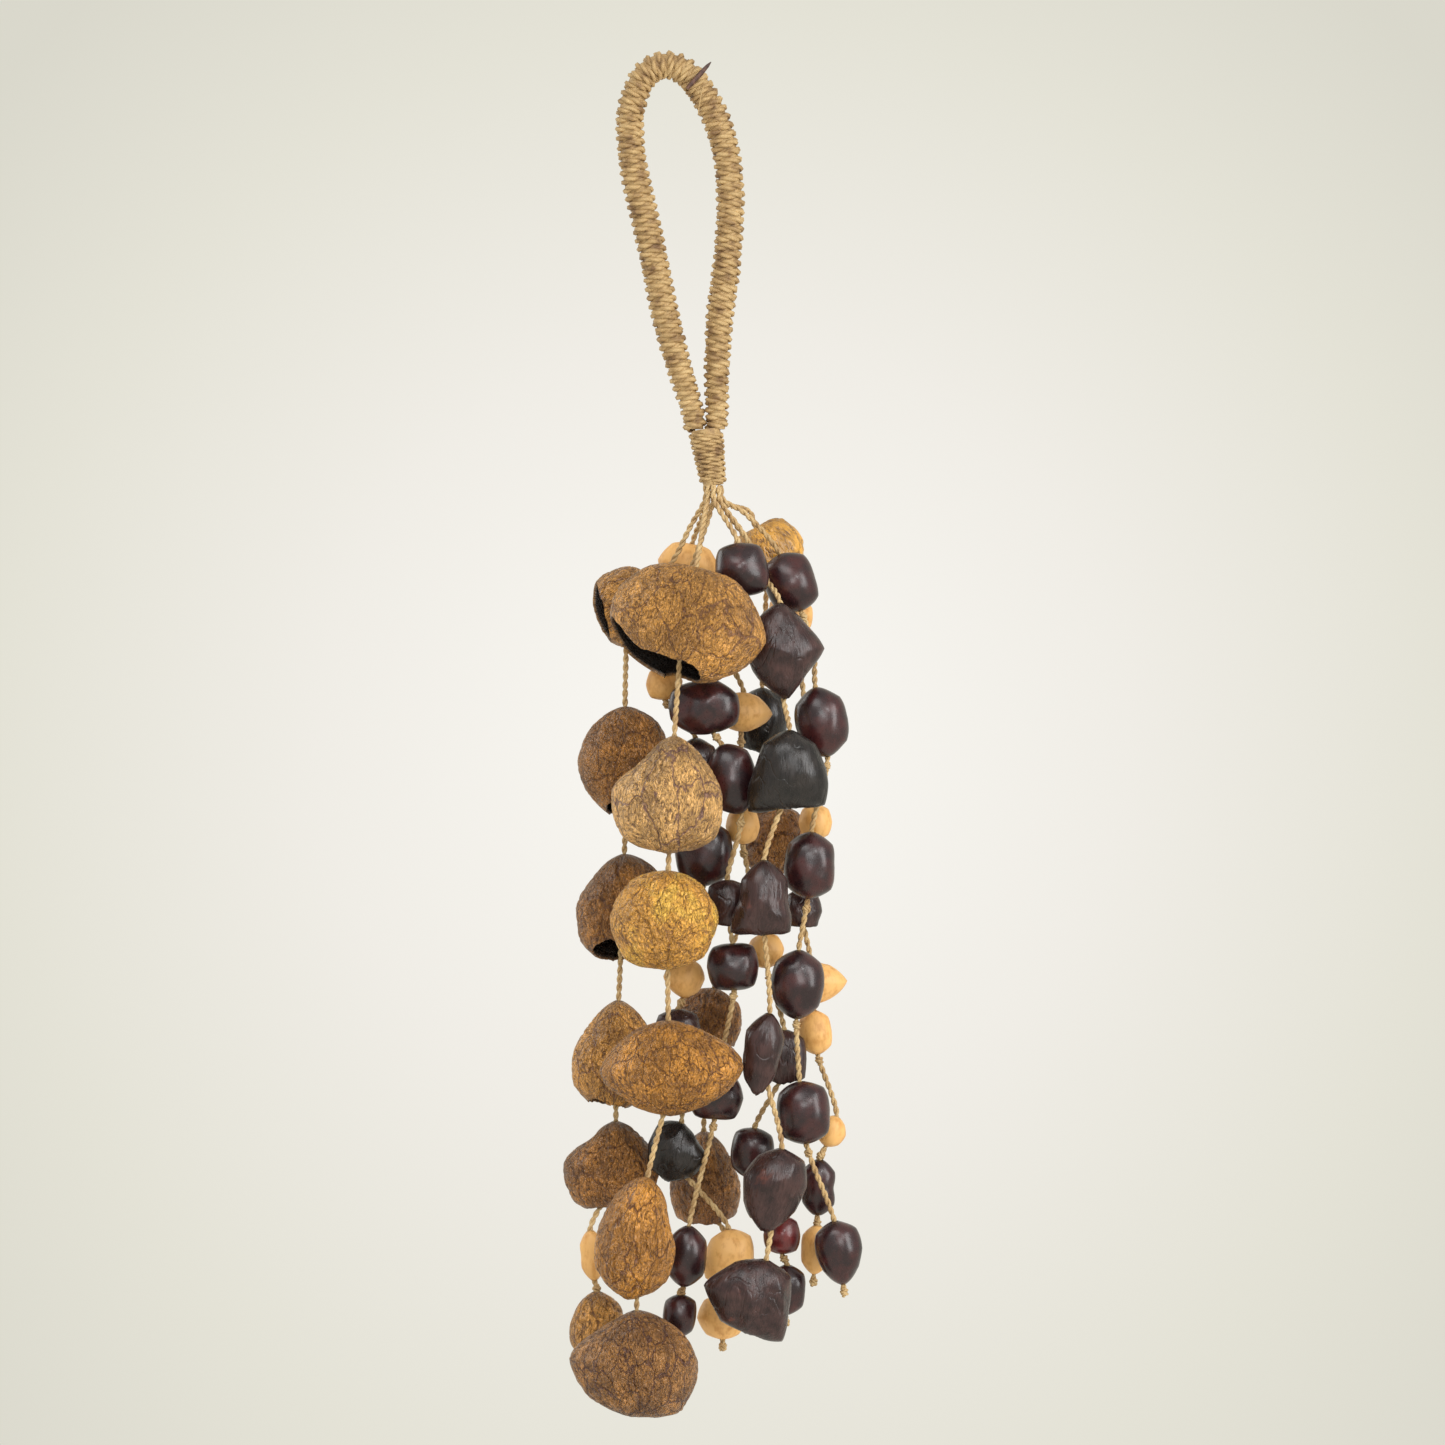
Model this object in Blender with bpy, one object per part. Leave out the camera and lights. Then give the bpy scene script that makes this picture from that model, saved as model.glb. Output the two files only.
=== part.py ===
"""A hand rattle of nutshells and seeds, strung on limp cords below a straw-wrapped loop.

The origin is the inside of the loop's top, where the rattle hangs. Sizes below are millimetres,
and the model is in metres. +Z is up and -Y is the side that the photograph shows.
"""
import bmesh
import bpy
import math
from mathutils import Matrix, Vector

MM = 0.001

# Driving sizes
GRIP_RADIUS = 5.4
GRIP_END_RADIUS = 3.7
GRIP_TURNS = 92
GRIP_GROOVE = 0.75
GRIP_SIDES = 7
GRIP_SLANT = 1.1

LOOP_LENGTH = 131.4
COLLAR_LENGTH = 20.6
COLLAR_TOP_PLACE = 15.6
COLLAR_BOTTOM_PLACE = 18.6
COLLAR_TOP_WIDTH = 13.4
COLLAR_BOTTOM_WIDTH = 9.6
COLLAR_DEPTH = 12.0
COLLAR_TURNS = 10
COLLAR_GROOVE = 0.45
COLLAR_SIDES = 14

PEG_RADIUS = 0.95
PEG_LENGTH = 13.4
PEG_ANGLE = 48.0
PEG_CENTRE = (13.2, 1.0)

CORD_DIAMETER = 2.3
CORD_STEP = 6.8
CORD_RING = (3.0, 4.1)
CORD_EDGE = 0.7
CORD_START = 4.0
CORD_RECESS = 0.5
KNOT_RADIUS = 2.3
KNOT_LENGTH = 4.4
TAIL_LENGTH = 6.0
KNOT_STUB = 0.6
POCKET_DROP = 11.0
POCKET_SHARE = 0.3

SEAT_GAP = 0.3
BORE_CLEARANCE = 0.75
STEM_HOLE_CLEARANCE = 1.0
FUSED_BORE_SHARE = 0.2

NUTSHELL_WALL = 1.9
POD_WALL = 1.5
DIRECTIONS = 8

# The grip's middle line from the collar's left half up, over the top and down to its right half,
# each point's x in millimetres and its height in hundredths of the loop's length
GRIP_ROUTE = [
    (11.6, -99.6), (11.4, -96.7), (8.3, -88.3), (4.7, -79.4), (0.1, -65.9), (-3.4, -52.5),
    (-7.2, -39.3), (-10.9, -27.1), (-12.6, -17.1), (-12.6, -8.8), (-11.2, -5.2), (-8.6, 0.0),
    (-4.6, 3.1), (0.6, 4.4), (6.8, 2.9), (12.2, -1.2), (18, -8.5), (21.4, -15.1),
    (23.8, -22.8), (24.9, -35.7), (24, -48.2), (22.8, -57.1), (21.1, -65.9), (20.3, -74.9),
    (19.8, -83.9), (19.8, -95.9), (19.7, -98.9),
]

# Kinds: how many sides and rings a shell is cut in, its wall, and how straight its outline runs
# from one of its eight reaches to the next, from 0 for a soft curve to 1 for a straight edge
KINDS = {
    "nutshell": {"sides": 10, "rings": 4, "inner": 2, "wall": NUTSHELL_WALL, "edged": 0.3},
    "pod": {"sides": 10, "rings": 6, "inner": 2, "wall": POD_WALL, "edged": 0.85},
    "seed": {"sides": 8, "rings": 5, "inner": 0, "wall": 0.0, "edged": 0.4},
    "nut": {"sides": 8, "rings": 4, "inner": 0, "wall": 0.0, "edged": 0.5},
}

# Each string of shells: where its cord leaves the collar, in degrees round it, and its shells in
# order. A shell's row is its name, its middle (x, y and its drop below the collar), how far its
# thread leans to the right at the top, its reach in eight directions clockwise from up, half its
# depth, and, where it is hollow, its mouth: how far down the shell it is in degrees, the side
# that it is turned to and how far its edge swings that way.
STRINGS = {
    "cord_left_back": {"exit": 180, "shells": [
        ("nutshell_left_back_1", (-14, 6, 45), 52, (15, 15, 15.5, 16, 16, 16, 15.5, 15.5), 12.5, (119, 270, 12)),
        ("nutshell_left_back_2", (-14, 6, 102), -2, (20, 18, 17, 19, 25, 21, 19, 18), 13, (158, 215, 8)),
        ("nutshell_left_back_3", (-16, 6, 157.5), 3, (20, 19, 16, 19, 24, 21.5, 17, 16), 13, (156, 225, 12)),
        ("nutshell_left_back_4", (-18.5, 6, 212.5), 4, (20, 16, 15, 20.5, 24, 21, 16, 14.5), 13, (151, 225, 8)),
        ("nutshell_left_back_5", (-19.2, 11, 256.4), 3, (18, 16, 18, 18, 18.5, 20.5, 19.5, 14.5), 12, (148, 90, 8)),
        ("nut_left_back", (-27, 7, 289.4), -5, (10.5, 6.5, 4.6, 6.5, 10.5, 6.5, 4.6, 6.5), 5, None),
        ("nutshell_left_back_6", (-26.2, 6.5, 315.6), 4, (13.5, 12.5, 12, 13, 15, 12, 9.5, 10.5), 11, (150, 90, 14)),
    ]},
    "cord_left_front": {"exit": 225, "shells": [
        ("nutshell_left_front_1", (6.5, -24, 51), 16, (21, 22.5, 33, 27, 21.5, 23.5, 27.5, 24.5), 16, (144, 245, 26)),
        ("nutshell_left_front_2", (3, -24, 115), 3, (22, 17.5, 19.5, 24, 23.5, 25, 22.5, 16.5), 16, (150, 90, 22)),
        ("nutshell_left_front_3", (1.5, -24, 161.5), 1, (18.5, 18.5, 19.5, 20, 20, 22.5, 22, 20), 16, (148, 90, 22)),
        ("nutshell_left_front_4", (2.5, -24, 217), -2, (18.5, 19.5, 28, 20, 18.5, 20, 26.5, 20), 16, (148, 90, 22)),
        ("nutshell_left_front_5", (-10, -24, 281), 10, (25, 15.5, 15, 19.5, 23, 18.5, 15.5, 18), 14, (148, 90, 22)),
        ("nutshell_left_front_6", (-10.5, -24, 325), 2, (19, 20, 24, 26, 22, 22, 25, 17.5), 16, (150, 90, 20)),
    ]},
    "cord_centre": {"exit": 270, "shells": [
        ("seed_centre_1", (28.8, -10, 31.6), -5, (10.2, 11, 10.4, 12.4, 10.7, 11, 10.2, 11), 9, None),
        ("seed_centre_2", (15, -7, 83.2), -20, (10.9, 11.6, 13.6, 13.8, 10.9, 11.6, 13.6, 13.6), 8, None),
        ("seed_centre_3", (25.4, -9, 110), -16, (14, 12.4, 10, 10.8, 14, 12.4, 9.8, 10.8), 8, None),
        ("pod_centre", (24, -6, 157), -2, (10, 10, 8, 10, 11, 10, 8, 10), 7, (130, 90, 22)),
        ("seed_centre_4", (26, -8, 180), -2, (9, 11, 10, 11, 9.4, 10.8, 10.2, 10.8), 8.5, None),
        ("seed_centre_5", (19.5, -4, 229), 4, (8.5, 10.5, 10.8, 11, 8.8, 11, 11, 10.5), 8, None),
        ("seed_centre_6", (8.4, -6, 288.6), 5, (12.2, 9.8, 8, 9.8, 12, 9.6, 8, 9.8), 7.5, None),
        ("seed_centre_7", (5.6, -4, 311), 4, (8.6, 8.6, 6.9, 7.8, 8.6, 7.6, 6.4, 8), 6.5, None),
    ]},
    "cord_right_front": {"exit": 315, "shells": [
        ("pod_right_1", (44.3, -10, 62.1), -3, (19, 13.8, 16.2, 11.4, 20, 12.6, 12, 12.8), 11, (140, 90, 28)),
        ("pod_right_2", (46.9, -19, 106.4), 0, (15.5, 14.3, 14.7, 18.5, 15, 22.5, 12.5, 12.8), 11, (143, 90, 25)),
        ("pod_right_3", (36.8, -19, 155.6), 2, (16.5, 12.7, 9.9, 15.5, 13.4, 16.6, 9.3, 12.6), 9, (143, 90, 25)),
        ("pod_right_4", (37.1, -17, 211.8), 9, (16, 10.8, 7.6, 8.8, 18, 10, 7.4, 11), 7.5, (148, 90, 20)),
        ("pod_right_5", (41.5, -19, 259), 12, (12.7, 13, 12.3, 13.8, 22, 14.5, 12, 11.4), 10, (148, 90, 20)),
        ("pod_right_6", (34.6, -19, 302.7), 14, (15.3, 15.2, 13.2, 19, 14.8, 16, 20.5, 15.8), 10, (148, 90, 18)),
    ]},
    "cord_right": {"exit": 0, "shells": [
        ("seed_right_1", (47.5, 4, 36.4), -20, (12, 12, 10, 12, 12, 11.4, 9.8, 11.8), 9, None),
        ("seed_right_2", (59, -3, 89), -10, (14, 12.2, 10.4, 12, 13.6, 12, 10.2, 12), 9, None),
        ("seed_right_3", (54.5, -4, 142.6), 3, (13.4, 12, 10, 12, 13, 12, 9.8, 11.8), 9, None),
        ("seed_right_4", (50, -5, 187), 2, (13.6, 12.2, 10.6, 12, 13.5, 11.6, 10.2, 12), 9, None),
        ("seed_right_5", (52, -5, 234.8), -6, (12.2, 12.6, 10.6, 12.4, 12.4, 12, 10.2, 12), 9, None),
        ("seed_right_6", (65.3, -6, 286.6), -8, (12, 11, 9.2, 10, 13.2, 9.6, 9, 10.8), 8, None),
    ]},
    "cord_right_back": {"exit": 45, "shells": [
        ("nut_right_back_1", (47.5, 19, 48), -14, (9.5, 9.5, 9, 9.5, 9, 8.5, 8.5, 9), 7, None),
        ("nut_right_back_2", (57, 13, 126.5), 0, (7.2, 7.2, 6.7, 7.2, 7.2, 7.2, 6.7, 7.2), 6.5, None),
        ("pod_right_back", (52, 13, 160), 2, (8.5, 8.5, 8, 8.5, 8.5, 8.5, 8, 8.5), 7, (130, 90, 14)),
        ("nut_right_back_3", (56, 13, 187.4), -4, (8.4, 9.6, 13.4, 9.2, 8.2, 7.5, 8, 7.5), 7.5, None),
        ("nut_right_back_4", (57, 13, 205.9), -6, (9, 8, 6.6, 8, 9, 8, 6.6, 8), 6, None),
        ("nut_right_back_5", (63, 11.5, 243), 20, (6.5, 6, 6, 6.4, 6.6, 6.2, 5.6, 6), 6, None),
        ("seed_right_back", (58, 10.5, 264.2), 2, (11.4, 9, 6, 9, 11.4, 8.6, 6, 8.6), 5.5, None),
        ("nut_right_back_6", (57, 10.5, 287.6), 4, (10, 8, 5.8, 7.6, 10, 7.4, 5.8, 7.8), 6, None),
    ]},
    "cord_back_right": {"exit": 90, "shells": [
        ("nutshell_back_1", (39, 27, 25.2), -24, (12, 15.5, 15, 14, 12, 11.5, 11.5, 14), 12, (140, 90, 16)),
        ("pod_back", (37, 26, 89), 0, (14, 12.5, 10.5, 12.5, 14, 12.5, 10.5, 12.5), 10, (135, 90, 20)),
        ("nutshell_back_2", (41, 28, 133), 2, (13, 14.5, 12.5, 14.5, 16, 14.5, 12.5, 14.5), 12, (145, 90, 18)),
        ("nutshell_back_3", (16.5, 28, 203.5), 10, (14.5, 14.5, 13, 14.5, 15, 14.5, 13.5, 14.5), 12, (140, 0, 20)),
        ("nutshell_back_4", (15.5, 28, 264), -2, (20.5, 14.5, 13.5, 17, 20.5, 17.5, 14, 14.5), 13, (138, 90, 14)),
        ("nutshell_back_5", (29.5, 28, 303), -8, (12, 12, 12, 12, 12, 12, 12, 12), 11, (145, 120, 18)),
    ]},
}

# Two inner strings, whose small shells sit tight on the cord and are one piece with it
INNER_STRINGS = {
    "cord_back_centre": {"exit": 135, "shells": [
        ("nut", (9, 15, 29.5), 10, (8.6, 10.4, 11.8, 10, 8.4, 10, 12, 10.6), 7.5, None),
        ("nut", (29.5, 10, 85), 4, (8, 8.8, 11.6, 8.6, 8, 8.6, 8.5, 8.6), 7, None),
        ("nut", (29.5, 9, 128), 0, (7.5, 7.5, 6.8, 7.4, 7.4, 7.4, 6.8, 7.4), 6.5, None),
        ("nut", (38, 10, 175), -6, (7, 7.8, 7.5, 7.2, 7, 7.2, 7.5, 7.2), 6.5, None),
        ("pod", (45.5, 5, 215.5), -2, (12, 10.5, 8.4, 10.5, 13, 10.5, 8, 10.5), 6.5, (135, 90, 20)),
        ("seed", (33, 8, 250.5), 6, (9.5, 10, 8.5, 10, 10.5, 10, 8.5, 10), 7.5, None),
        ("seed", (44.3, 3.5, 281.5), 2, (7.6, 8, 7, 8, 7.6, 8, 7.4, 8), 6.2, None),
        ("seed", (46, 3, 302), 2, (10, 9.2, 7.4, 9, 10, 9, 8, 9.2), 6.2, None),
    ]},
    "cord_inner_left": {"exit": None, "shells": [
        ("nut", (-0.5, 4, 74), -6, (6.4, 7.4, 8, 8, 7, 7.4, 6.6, 6.8), 6.5, None),
        ("pod", (12.5, 3, 105), -4, (11, 10, 9, 11, 12, 10, 7.5, 10), 8, (135, 90, 22)),
        ("seed", (15.2, 4, 138.2), 2, (13, 12.6, 11.4, 12.4, 12.8, 12.6, 11.6, 12.6), 8, None),
        ("nut", (8, 4, 185), 4, (8.5, 7.8, 7.8, 7.4, 8, 7.4, 8.5, 7.8), 6.5, None),
        ("pod", (5, 5, 206), 0, (10, 10.5, 9, 9, 9, 9, 9, 10.5), 7.5, (135, 90, 22)),
        ("pod", (4, -1, 249.3), 14, (11.5, 9.6, 14, 12, 13, 11.5, 10.6, 12.4), 7.5, (143, 90, 24)),
        ("nut", (24, 7, 290), 2, (11, 12, 10, 10, 11, 12, 9.5, 9.5), 7.5, None),
        ("nut", (22, 7, 313), 0, (9, 10, 9.5, 9, 8.5, 9, 10, 10), 7.5, None),
    ]},
}


# Places that a cord passes on its way to a shell, where it has to go round another one
WAY_POINTS = {
    "nutshell_back_1": [(32.8, 25.6, 9.5)],
    "nutshell_left_back_1": [(10, 3, 15), (4, 5, 27)],
    "nutshell_left_front_1": [(15, -6, 13)],
    "pod_right_1": [(31, 0.5, 20), (37.5, -2, 34)],
    "pod_right_2": [(44.7, -10.4, 80)],
    "seed_right_1": [(30, 3.5, 10)],
    "seed_right_2": [(56, 2, 60)],
}


def make_material(name, colour, roughness):
    material = bpy.data.materials.new(name)
    material.use_nodes = True
    shader = material.node_tree.nodes["Principled BSDF"]
    shader.inputs["Base Color"].default_value = (*colour, 1.0)
    shader.inputs["Roughness"].default_value = roughness
    shader.inputs["Metallic"].default_value = 0.0
    return material


def smooth_points(points, step):
    """Points at even steps along a smooth curve through the given ones."""
    rows = [Vector(p) for p in points]
    rows = [rows[0] * 2 - rows[1]] + rows + [rows[-1] * 2 - rows[-2]]
    fine = []
    for a, b, c, d in zip(rows, rows[1:], rows[2:], rows[3:]):
        knots = [0.0]
        for p, q in ((a, b), (b, c), (c, d)):
            knots.append(knots[-1] + max((q - p).length, 1e-6) ** 0.5)
        t0, t1, t2, t3 = knots
        for i in range(24):
            t = t1 + (t2 - t1) * i / 24
            ab = a * ((t1 - t) / (t1 - t0)) + b * ((t - t0) / (t1 - t0))
            bc = b * ((t2 - t) / (t2 - t1)) + c * ((t - t1) / (t2 - t1))
            cd = c * ((t3 - t) / (t3 - t2)) + d * ((t - t2) / (t3 - t2))
            low = ab * ((t2 - t) / (t2 - t0)) + bc * ((t - t0) / (t2 - t0))
            high = bc * ((t3 - t) / (t3 - t1)) + cd * ((t - t1) / (t3 - t1))
            fine.append(low * ((t2 - t) / (t2 - t1)) + high * ((t - t1) / (t2 - t1)))
    fine.append(rows[-2].copy())
    return spread_points(fine, step)


def spread_points(fine, step):
    """The same path with its points an even step apart."""
    lengths = [0.0]
    for p, q in zip(fine, fine[1:]):
        lengths.append(lengths[-1] + (q - p).length)
    count = max(2, round(lengths[-1] / step))
    points = []
    at = 0
    for i in range(count + 1):
        goal = lengths[-1] * i / count
        while at < len(fine) - 2 and lengths[at + 1] < goal:
            at += 1
        share = (goal - lengths[at]) / max(lengths[at + 1] - lengths[at], 1e-9)
        points.append(fine[at].lerp(fine[at + 1], share))
    return points


def finish_mesh(name, bm, material):
    """One mesh object, in metres, with its faces pointing out."""
    bmesh.ops.recalc_face_normals(bm, faces=bm.faces)
    bmesh.ops.scale(bm, vec=(MM, MM, MM), verts=bm.verts)
    mesh = bpy.data.meshes.new(name)
    bm.to_mesh(mesh)
    bm.free()
    mesh.materials.append(material)
    mesh.shade_smooth()
    mesh.set_sharp_from_angle(angle=math.radians(50))
    obj = bpy.data.objects.new(name, mesh)
    bpy.context.scene.collection.objects.link(obj)
    return obj


def bridge_rings(bm, rings, closed=False):
    """Faces between neighbouring rings, and from the last ring to the first if closed."""
    pairs = list(zip(rings, rings[1:]))
    if closed:
        pairs.append((rings[-1], rings[0]))
    for low, high in pairs:
        for i in range(len(low)):
            j = (i + 1) % len(low)
            bm.faces.new((low[i], low[j], high[j], high[i]))


def make_handle(material):
    """The grip: a loop of turns of straw, each turn a slanted ridge."""
    middle = smooth_points([(x, 0.0, z * LOOP_LENGTH / 100) for x, z in GRIP_ROUTE], 0.5)
    middle = spread_points(middle, (len(middle) - 1) * 0.5 / (2 * GRIP_TURNS))
    bm = bmesh.new()
    rings = []
    last = len(middle) - 1
    for i, point in enumerate(middle):
        along = (middle[min(i + 1, last)] - middle[max(i - 1, 0)]).normalized()
        out = Vector((0, 1, 0)).cross(along).normalized()
        end = min(i, last - i) / last
        radius = GRIP_END_RADIUS + (GRIP_RADIUS - GRIP_END_RADIUS) * min(1.0, end * 8)
        if i % 2 == 0:
            radius -= GRIP_GROOVE
        slant = GRIP_SLANT * min(1.0, end * 20)
        ring = []
        for k in range(GRIP_SIDES):
            angle = math.tau * (k + 0.5) / GRIP_SIDES
            side = out * math.cos(angle) + Vector((0, 1, 0)) * math.sin(angle)
            ring.append(bm.verts.new(point + side * radius + along * slant * math.cos(angle)))
        rings.append(ring)
    bridge_rings(bm, rings)
    bm.faces.new(rings[0])
    bm.faces.new(rings[-1])
    return finish_mesh("handle_loop", bm, material)


def collar_mouth():
    """The middle of the collar's lower face, which every drop is taken from."""
    return Vector((COLLAR_BOTTOM_PLACE, 0.0, -LOOP_LENGTH - COLLAR_LENGTH))


def hung_point(place):
    """A point from its x, its y and its drop below the collar's mouth."""
    return Vector((place[0], place[1], collar_mouth().z - place[2]))


def make_collar(material):
    """The binding that draws the loop's two ends and all the cords together."""
    top = Vector((COLLAR_TOP_PLACE, 0.0, -LOOP_LENGTH))
    bottom = collar_mouth()
    along = (bottom - top).normalized()
    across = Vector((0, 1, 0)).cross(along).normalized()
    bm = bmesh.new()
    rings = []
    count = 2 * COLLAR_TURNS
    for i in range(count + 1):
        share = i / count
        cut = COLLAR_GROOVE if i % 2 == 0 else 0.0
        width = COLLAR_TOP_WIDTH + (COLLAR_BOTTOM_WIDTH - COLLAR_TOP_WIDTH) * share
        ring = []
        for k in range(COLLAR_SIDES):
            angle = math.tau * k / COLLAR_SIDES
            side = across * (width / 2 - cut) * math.cos(angle)
            side += Vector((0, 1, 0)) * (COLLAR_DEPTH / 2 - cut) * math.sin(angle)
            ring.append(bm.verts.new(top.lerp(bottom, share) + side))
        rings.append(ring)
    bridge_rings(bm, rings)
    bm.faces.new(rings[0])
    bm.faces.new(rings[-1])
    return finish_mesh("collar_binding", bm, material)


def make_peg(material):
    """The thorn that pins the end of the straw at the top of the loop."""
    angle = math.radians(PEG_ANGLE)
    along = Vector((math.cos(angle), 0, math.sin(angle)))
    front = -(GRIP_RADIUS + SEAT_GAP + PEG_RADIUS)
    middle = Vector((PEG_CENTRE[0], front, PEG_CENTRE[1]))
    shape = [(-0.5, 0.7), (-0.3, 1.0), (0.1, 1.0), (0.36, 0.7), (0.5, 0.15)]
    across = Vector((0, 1, 0)).cross(along)
    bm = bmesh.new()
    rings = []
    for share, size in shape:
        centre = middle + along * PEG_LENGTH * share
        ring = []
        for k in range(6):
            turn = math.tau * k / 6
            side = across * math.cos(turn) + Vector((0, 1, 0)) * math.sin(turn)
            ring.append(bm.verts.new(centre + side * PEG_RADIUS * size))
        rings.append(ring)
    bridge_rings(bm, rings)
    bm.faces.new(rings[0])
    bm.faces.new(rings[-1])
    return finish_mesh("wrap_peg", bm, material)


def outline(reach, angle, edged):
    """How far the outline is from the middle, clockwise from up, between its eight reaches."""
    step = math.tau / DIRECTIONS
    place = (angle / step) % DIRECTIONS
    low = int(place)
    t = place - low
    a, b, c, d = (reach[(low + i) % DIRECTIONS] for i in (-1, 0, 1, 2))
    soft = b + 0.5 * t * (c - a + t * (2 * a - 5 * b + 4 * c - d + t * (3 * (b - c) + d - a)))
    straight = b * c * math.sin(step) / (b * math.sin(step * t) + c * math.sin(step * (1 - t)))
    return soft + (straight - soft) * edged


def surface_point(reach, depth, polar, around, edged):
    """A point on the shell, by its angle from the thread and its angle round the thread."""
    right = math.cos(around) >= 0
    side = outline(reach, polar if right else -polar, edged)
    height = reach[0] if polar < math.pi / 2 else reach[4]
    flat = 1 / math.sqrt((math.sin(polar) / depth) ** 2 + (math.cos(polar) / height) ** 2)
    mix = math.cos(around) ** 2 / side ** 2 + math.sin(around) ** 2 / flat ** 2
    radius = 1 / math.sqrt(mix)
    ray = (math.sin(polar) * math.cos(around), math.sin(polar) * math.sin(around), math.cos(polar))
    return Vector(ray), radius


def thread_axis(lean):
    """The way up along a shell's thread."""
    angle = math.radians(lean)
    return Vector((math.sin(angle), 0, math.cos(angle)))


def hole_radius(kind, fused):
    if fused:
        return CORD_DIAMETER / 2 * FUSED_BORE_SHARE
    if KINDS[kind]["wall"] > 0:
        return CORD_DIAMETER / 2 + STEM_HOLE_CLEARANCE
    return CORD_DIAMETER / 2 + BORE_CLEARANCE


def shell_rings(kind, reach, depth, mouth, hole):
    """The rings of a shell: down its outside, and for a hollow one back up its inside."""
    form = KINDS[kind]
    sides = form["sides"]
    top = math.asin(hole / reach[0])
    hollow = form["wall"] > 0
    cut, facing, swing = mouth if mouth else (0, 0, 0)
    rings = []
    for step in range(form["rings"] + 1):
        share = step / form["rings"]
        ring = []
        for k in range(sides):
            around = math.tau * k / sides
            last = math.pi - math.asin(hole / reach[4])
            if hollow:
                turned = math.cos(around - math.radians(facing))
                last = math.radians(cut - swing * turned)
            polar = top + (last - top) * share
            ray, radius = surface_point(reach, depth, polar, around, form["edged"])
            ring.append(ray * radius)
        rings.append(ring)
    rings[0] = hole_ring(hole, rings[0], sides)
    if not hollow:
        rings[-1] = hole_ring(hole, rings[-1], sides)
        return rings
    inside = []
    for step in range(form["inner"] + 1):
        share = 1 - step / form["inner"]
        ring = []
        for k in range(sides):
            around = math.tau * k / sides
            turned = math.cos(around - math.radians(facing))
            last = math.radians(cut - swing * turned)
            polar = top + (last - top) * share
            ray, radius = surface_point(reach, depth, polar, around, form["edged"])
            ring.append(ray * (radius - form["wall"]))
        inside.append(ring)
    inside[-1] = [point - Vector((0, 0, form["wall"])) for point in rings[0]]
    return rings + inside


def hole_ring(hole, ring, sides):
    """A true circle of the hole's size at the ring's own height."""
    height = sum(point.z for point in ring) / sides
    turns = [math.tau * k / sides for k in range(sides)]
    return [Vector((hole * math.cos(a), hole * math.sin(a), height)) for a in turns]


def shell_bmesh(kind, middle, lean, reach, depth, mouth, fused=False):
    """One shell or seed with its bore, in place."""
    hole = hole_radius(kind, fused)
    rings = shell_rings(kind, reach, depth, mouth, hole)
    bm = bmesh.new()
    made = [[bm.verts.new(point) for point in ring] for ring in rings]
    bridge_rings(bm, made, closed=True)
    turn = Matrix.Rotation(math.radians(lean), 4, "Y")
    place = Matrix.Translation(hung_point(middle))
    bmesh.ops.transform(bm, matrix=place @ turn, verts=bm.verts)
    return bm


def cord_exit(angle):
    """Where a cord leaves the collar's lower face."""
    below = collar_mouth() - Vector((0, 0, SEAT_GAP + CORD_EDGE))
    if angle is None:
        return below
    turn = math.radians(angle)
    return below + Vector((CORD_RING[0] * math.cos(turn), CORD_RING[1] * math.sin(turn), 0))


def cord_route(string, fused):
    """A cord's way from the collar through each of its shells, to its tail below the knot."""
    start = cord_exit(string["exit"])
    route = [start, start - Vector((0, 0, CORD_START))]
    for name, middle, lean, reach, _, mouth in string["shells"]:
        up = thread_axis(lean)
        centre = hung_point(middle)
        over = up * (reach[0] - CORD_RECESS)
        under = up * (reach[4] - CORD_RECESS)
        if mouth:
            under = Vector((0, 0, reach[4] * POCKET_SHARE))
        route += [hung_point(point) for point in WAY_POINTS.get(name, [])]
        route += [centre + over, centre, centre - under]
    if mouth and not fused:
        return route[:-2] + [centre + up * (reach[0] - POCKET_DROP)]
    route.append(route[-1] + (route[-1] - route[-2]).normalized() * TAIL_LENGTH)
    return route


def make_cord(name, string, material, fused=False):
    """A limp cord of one thickness, with the knot below its last shell."""
    points = smooth_points(cord_route(string, fused), CORD_STEP)
    curve = bpy.data.curves.new(name, "CURVE")
    curve.dimensions = "3D"
    curve.bevel_depth = CORD_DIAMETER / 2 * MM
    curve.bevel_resolution = 2
    curve.use_fill_caps = True
    row = [(point, 1.0) for point in points]
    way = (points[-1] - points[-2]).normalized()
    swell = KNOT_RADIUS / (CORD_DIAMETER / 2)
    half = KNOT_LENGTH / 2
    shape = [(-half, 1.0), (-half / 2, swell), (half / 2, swell), (half, 1.0)]
    middle = points[-1] - way * (half + KNOT_STUB)
    row[-1:-1] = [(middle + way * place, size) for place, size in shape]
    spline = curve.splines.new("POLY")
    spline.points.add(len(row) - 1)
    for target, (point, size) in zip(spline.points, row):
        target.co = (*(point * MM), 1.0)
        target.radius = size
    curve.materials.append(material)
    obj = bpy.data.objects.new(name, curve)
    bpy.context.scene.collection.objects.link(obj)
    return obj


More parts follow.
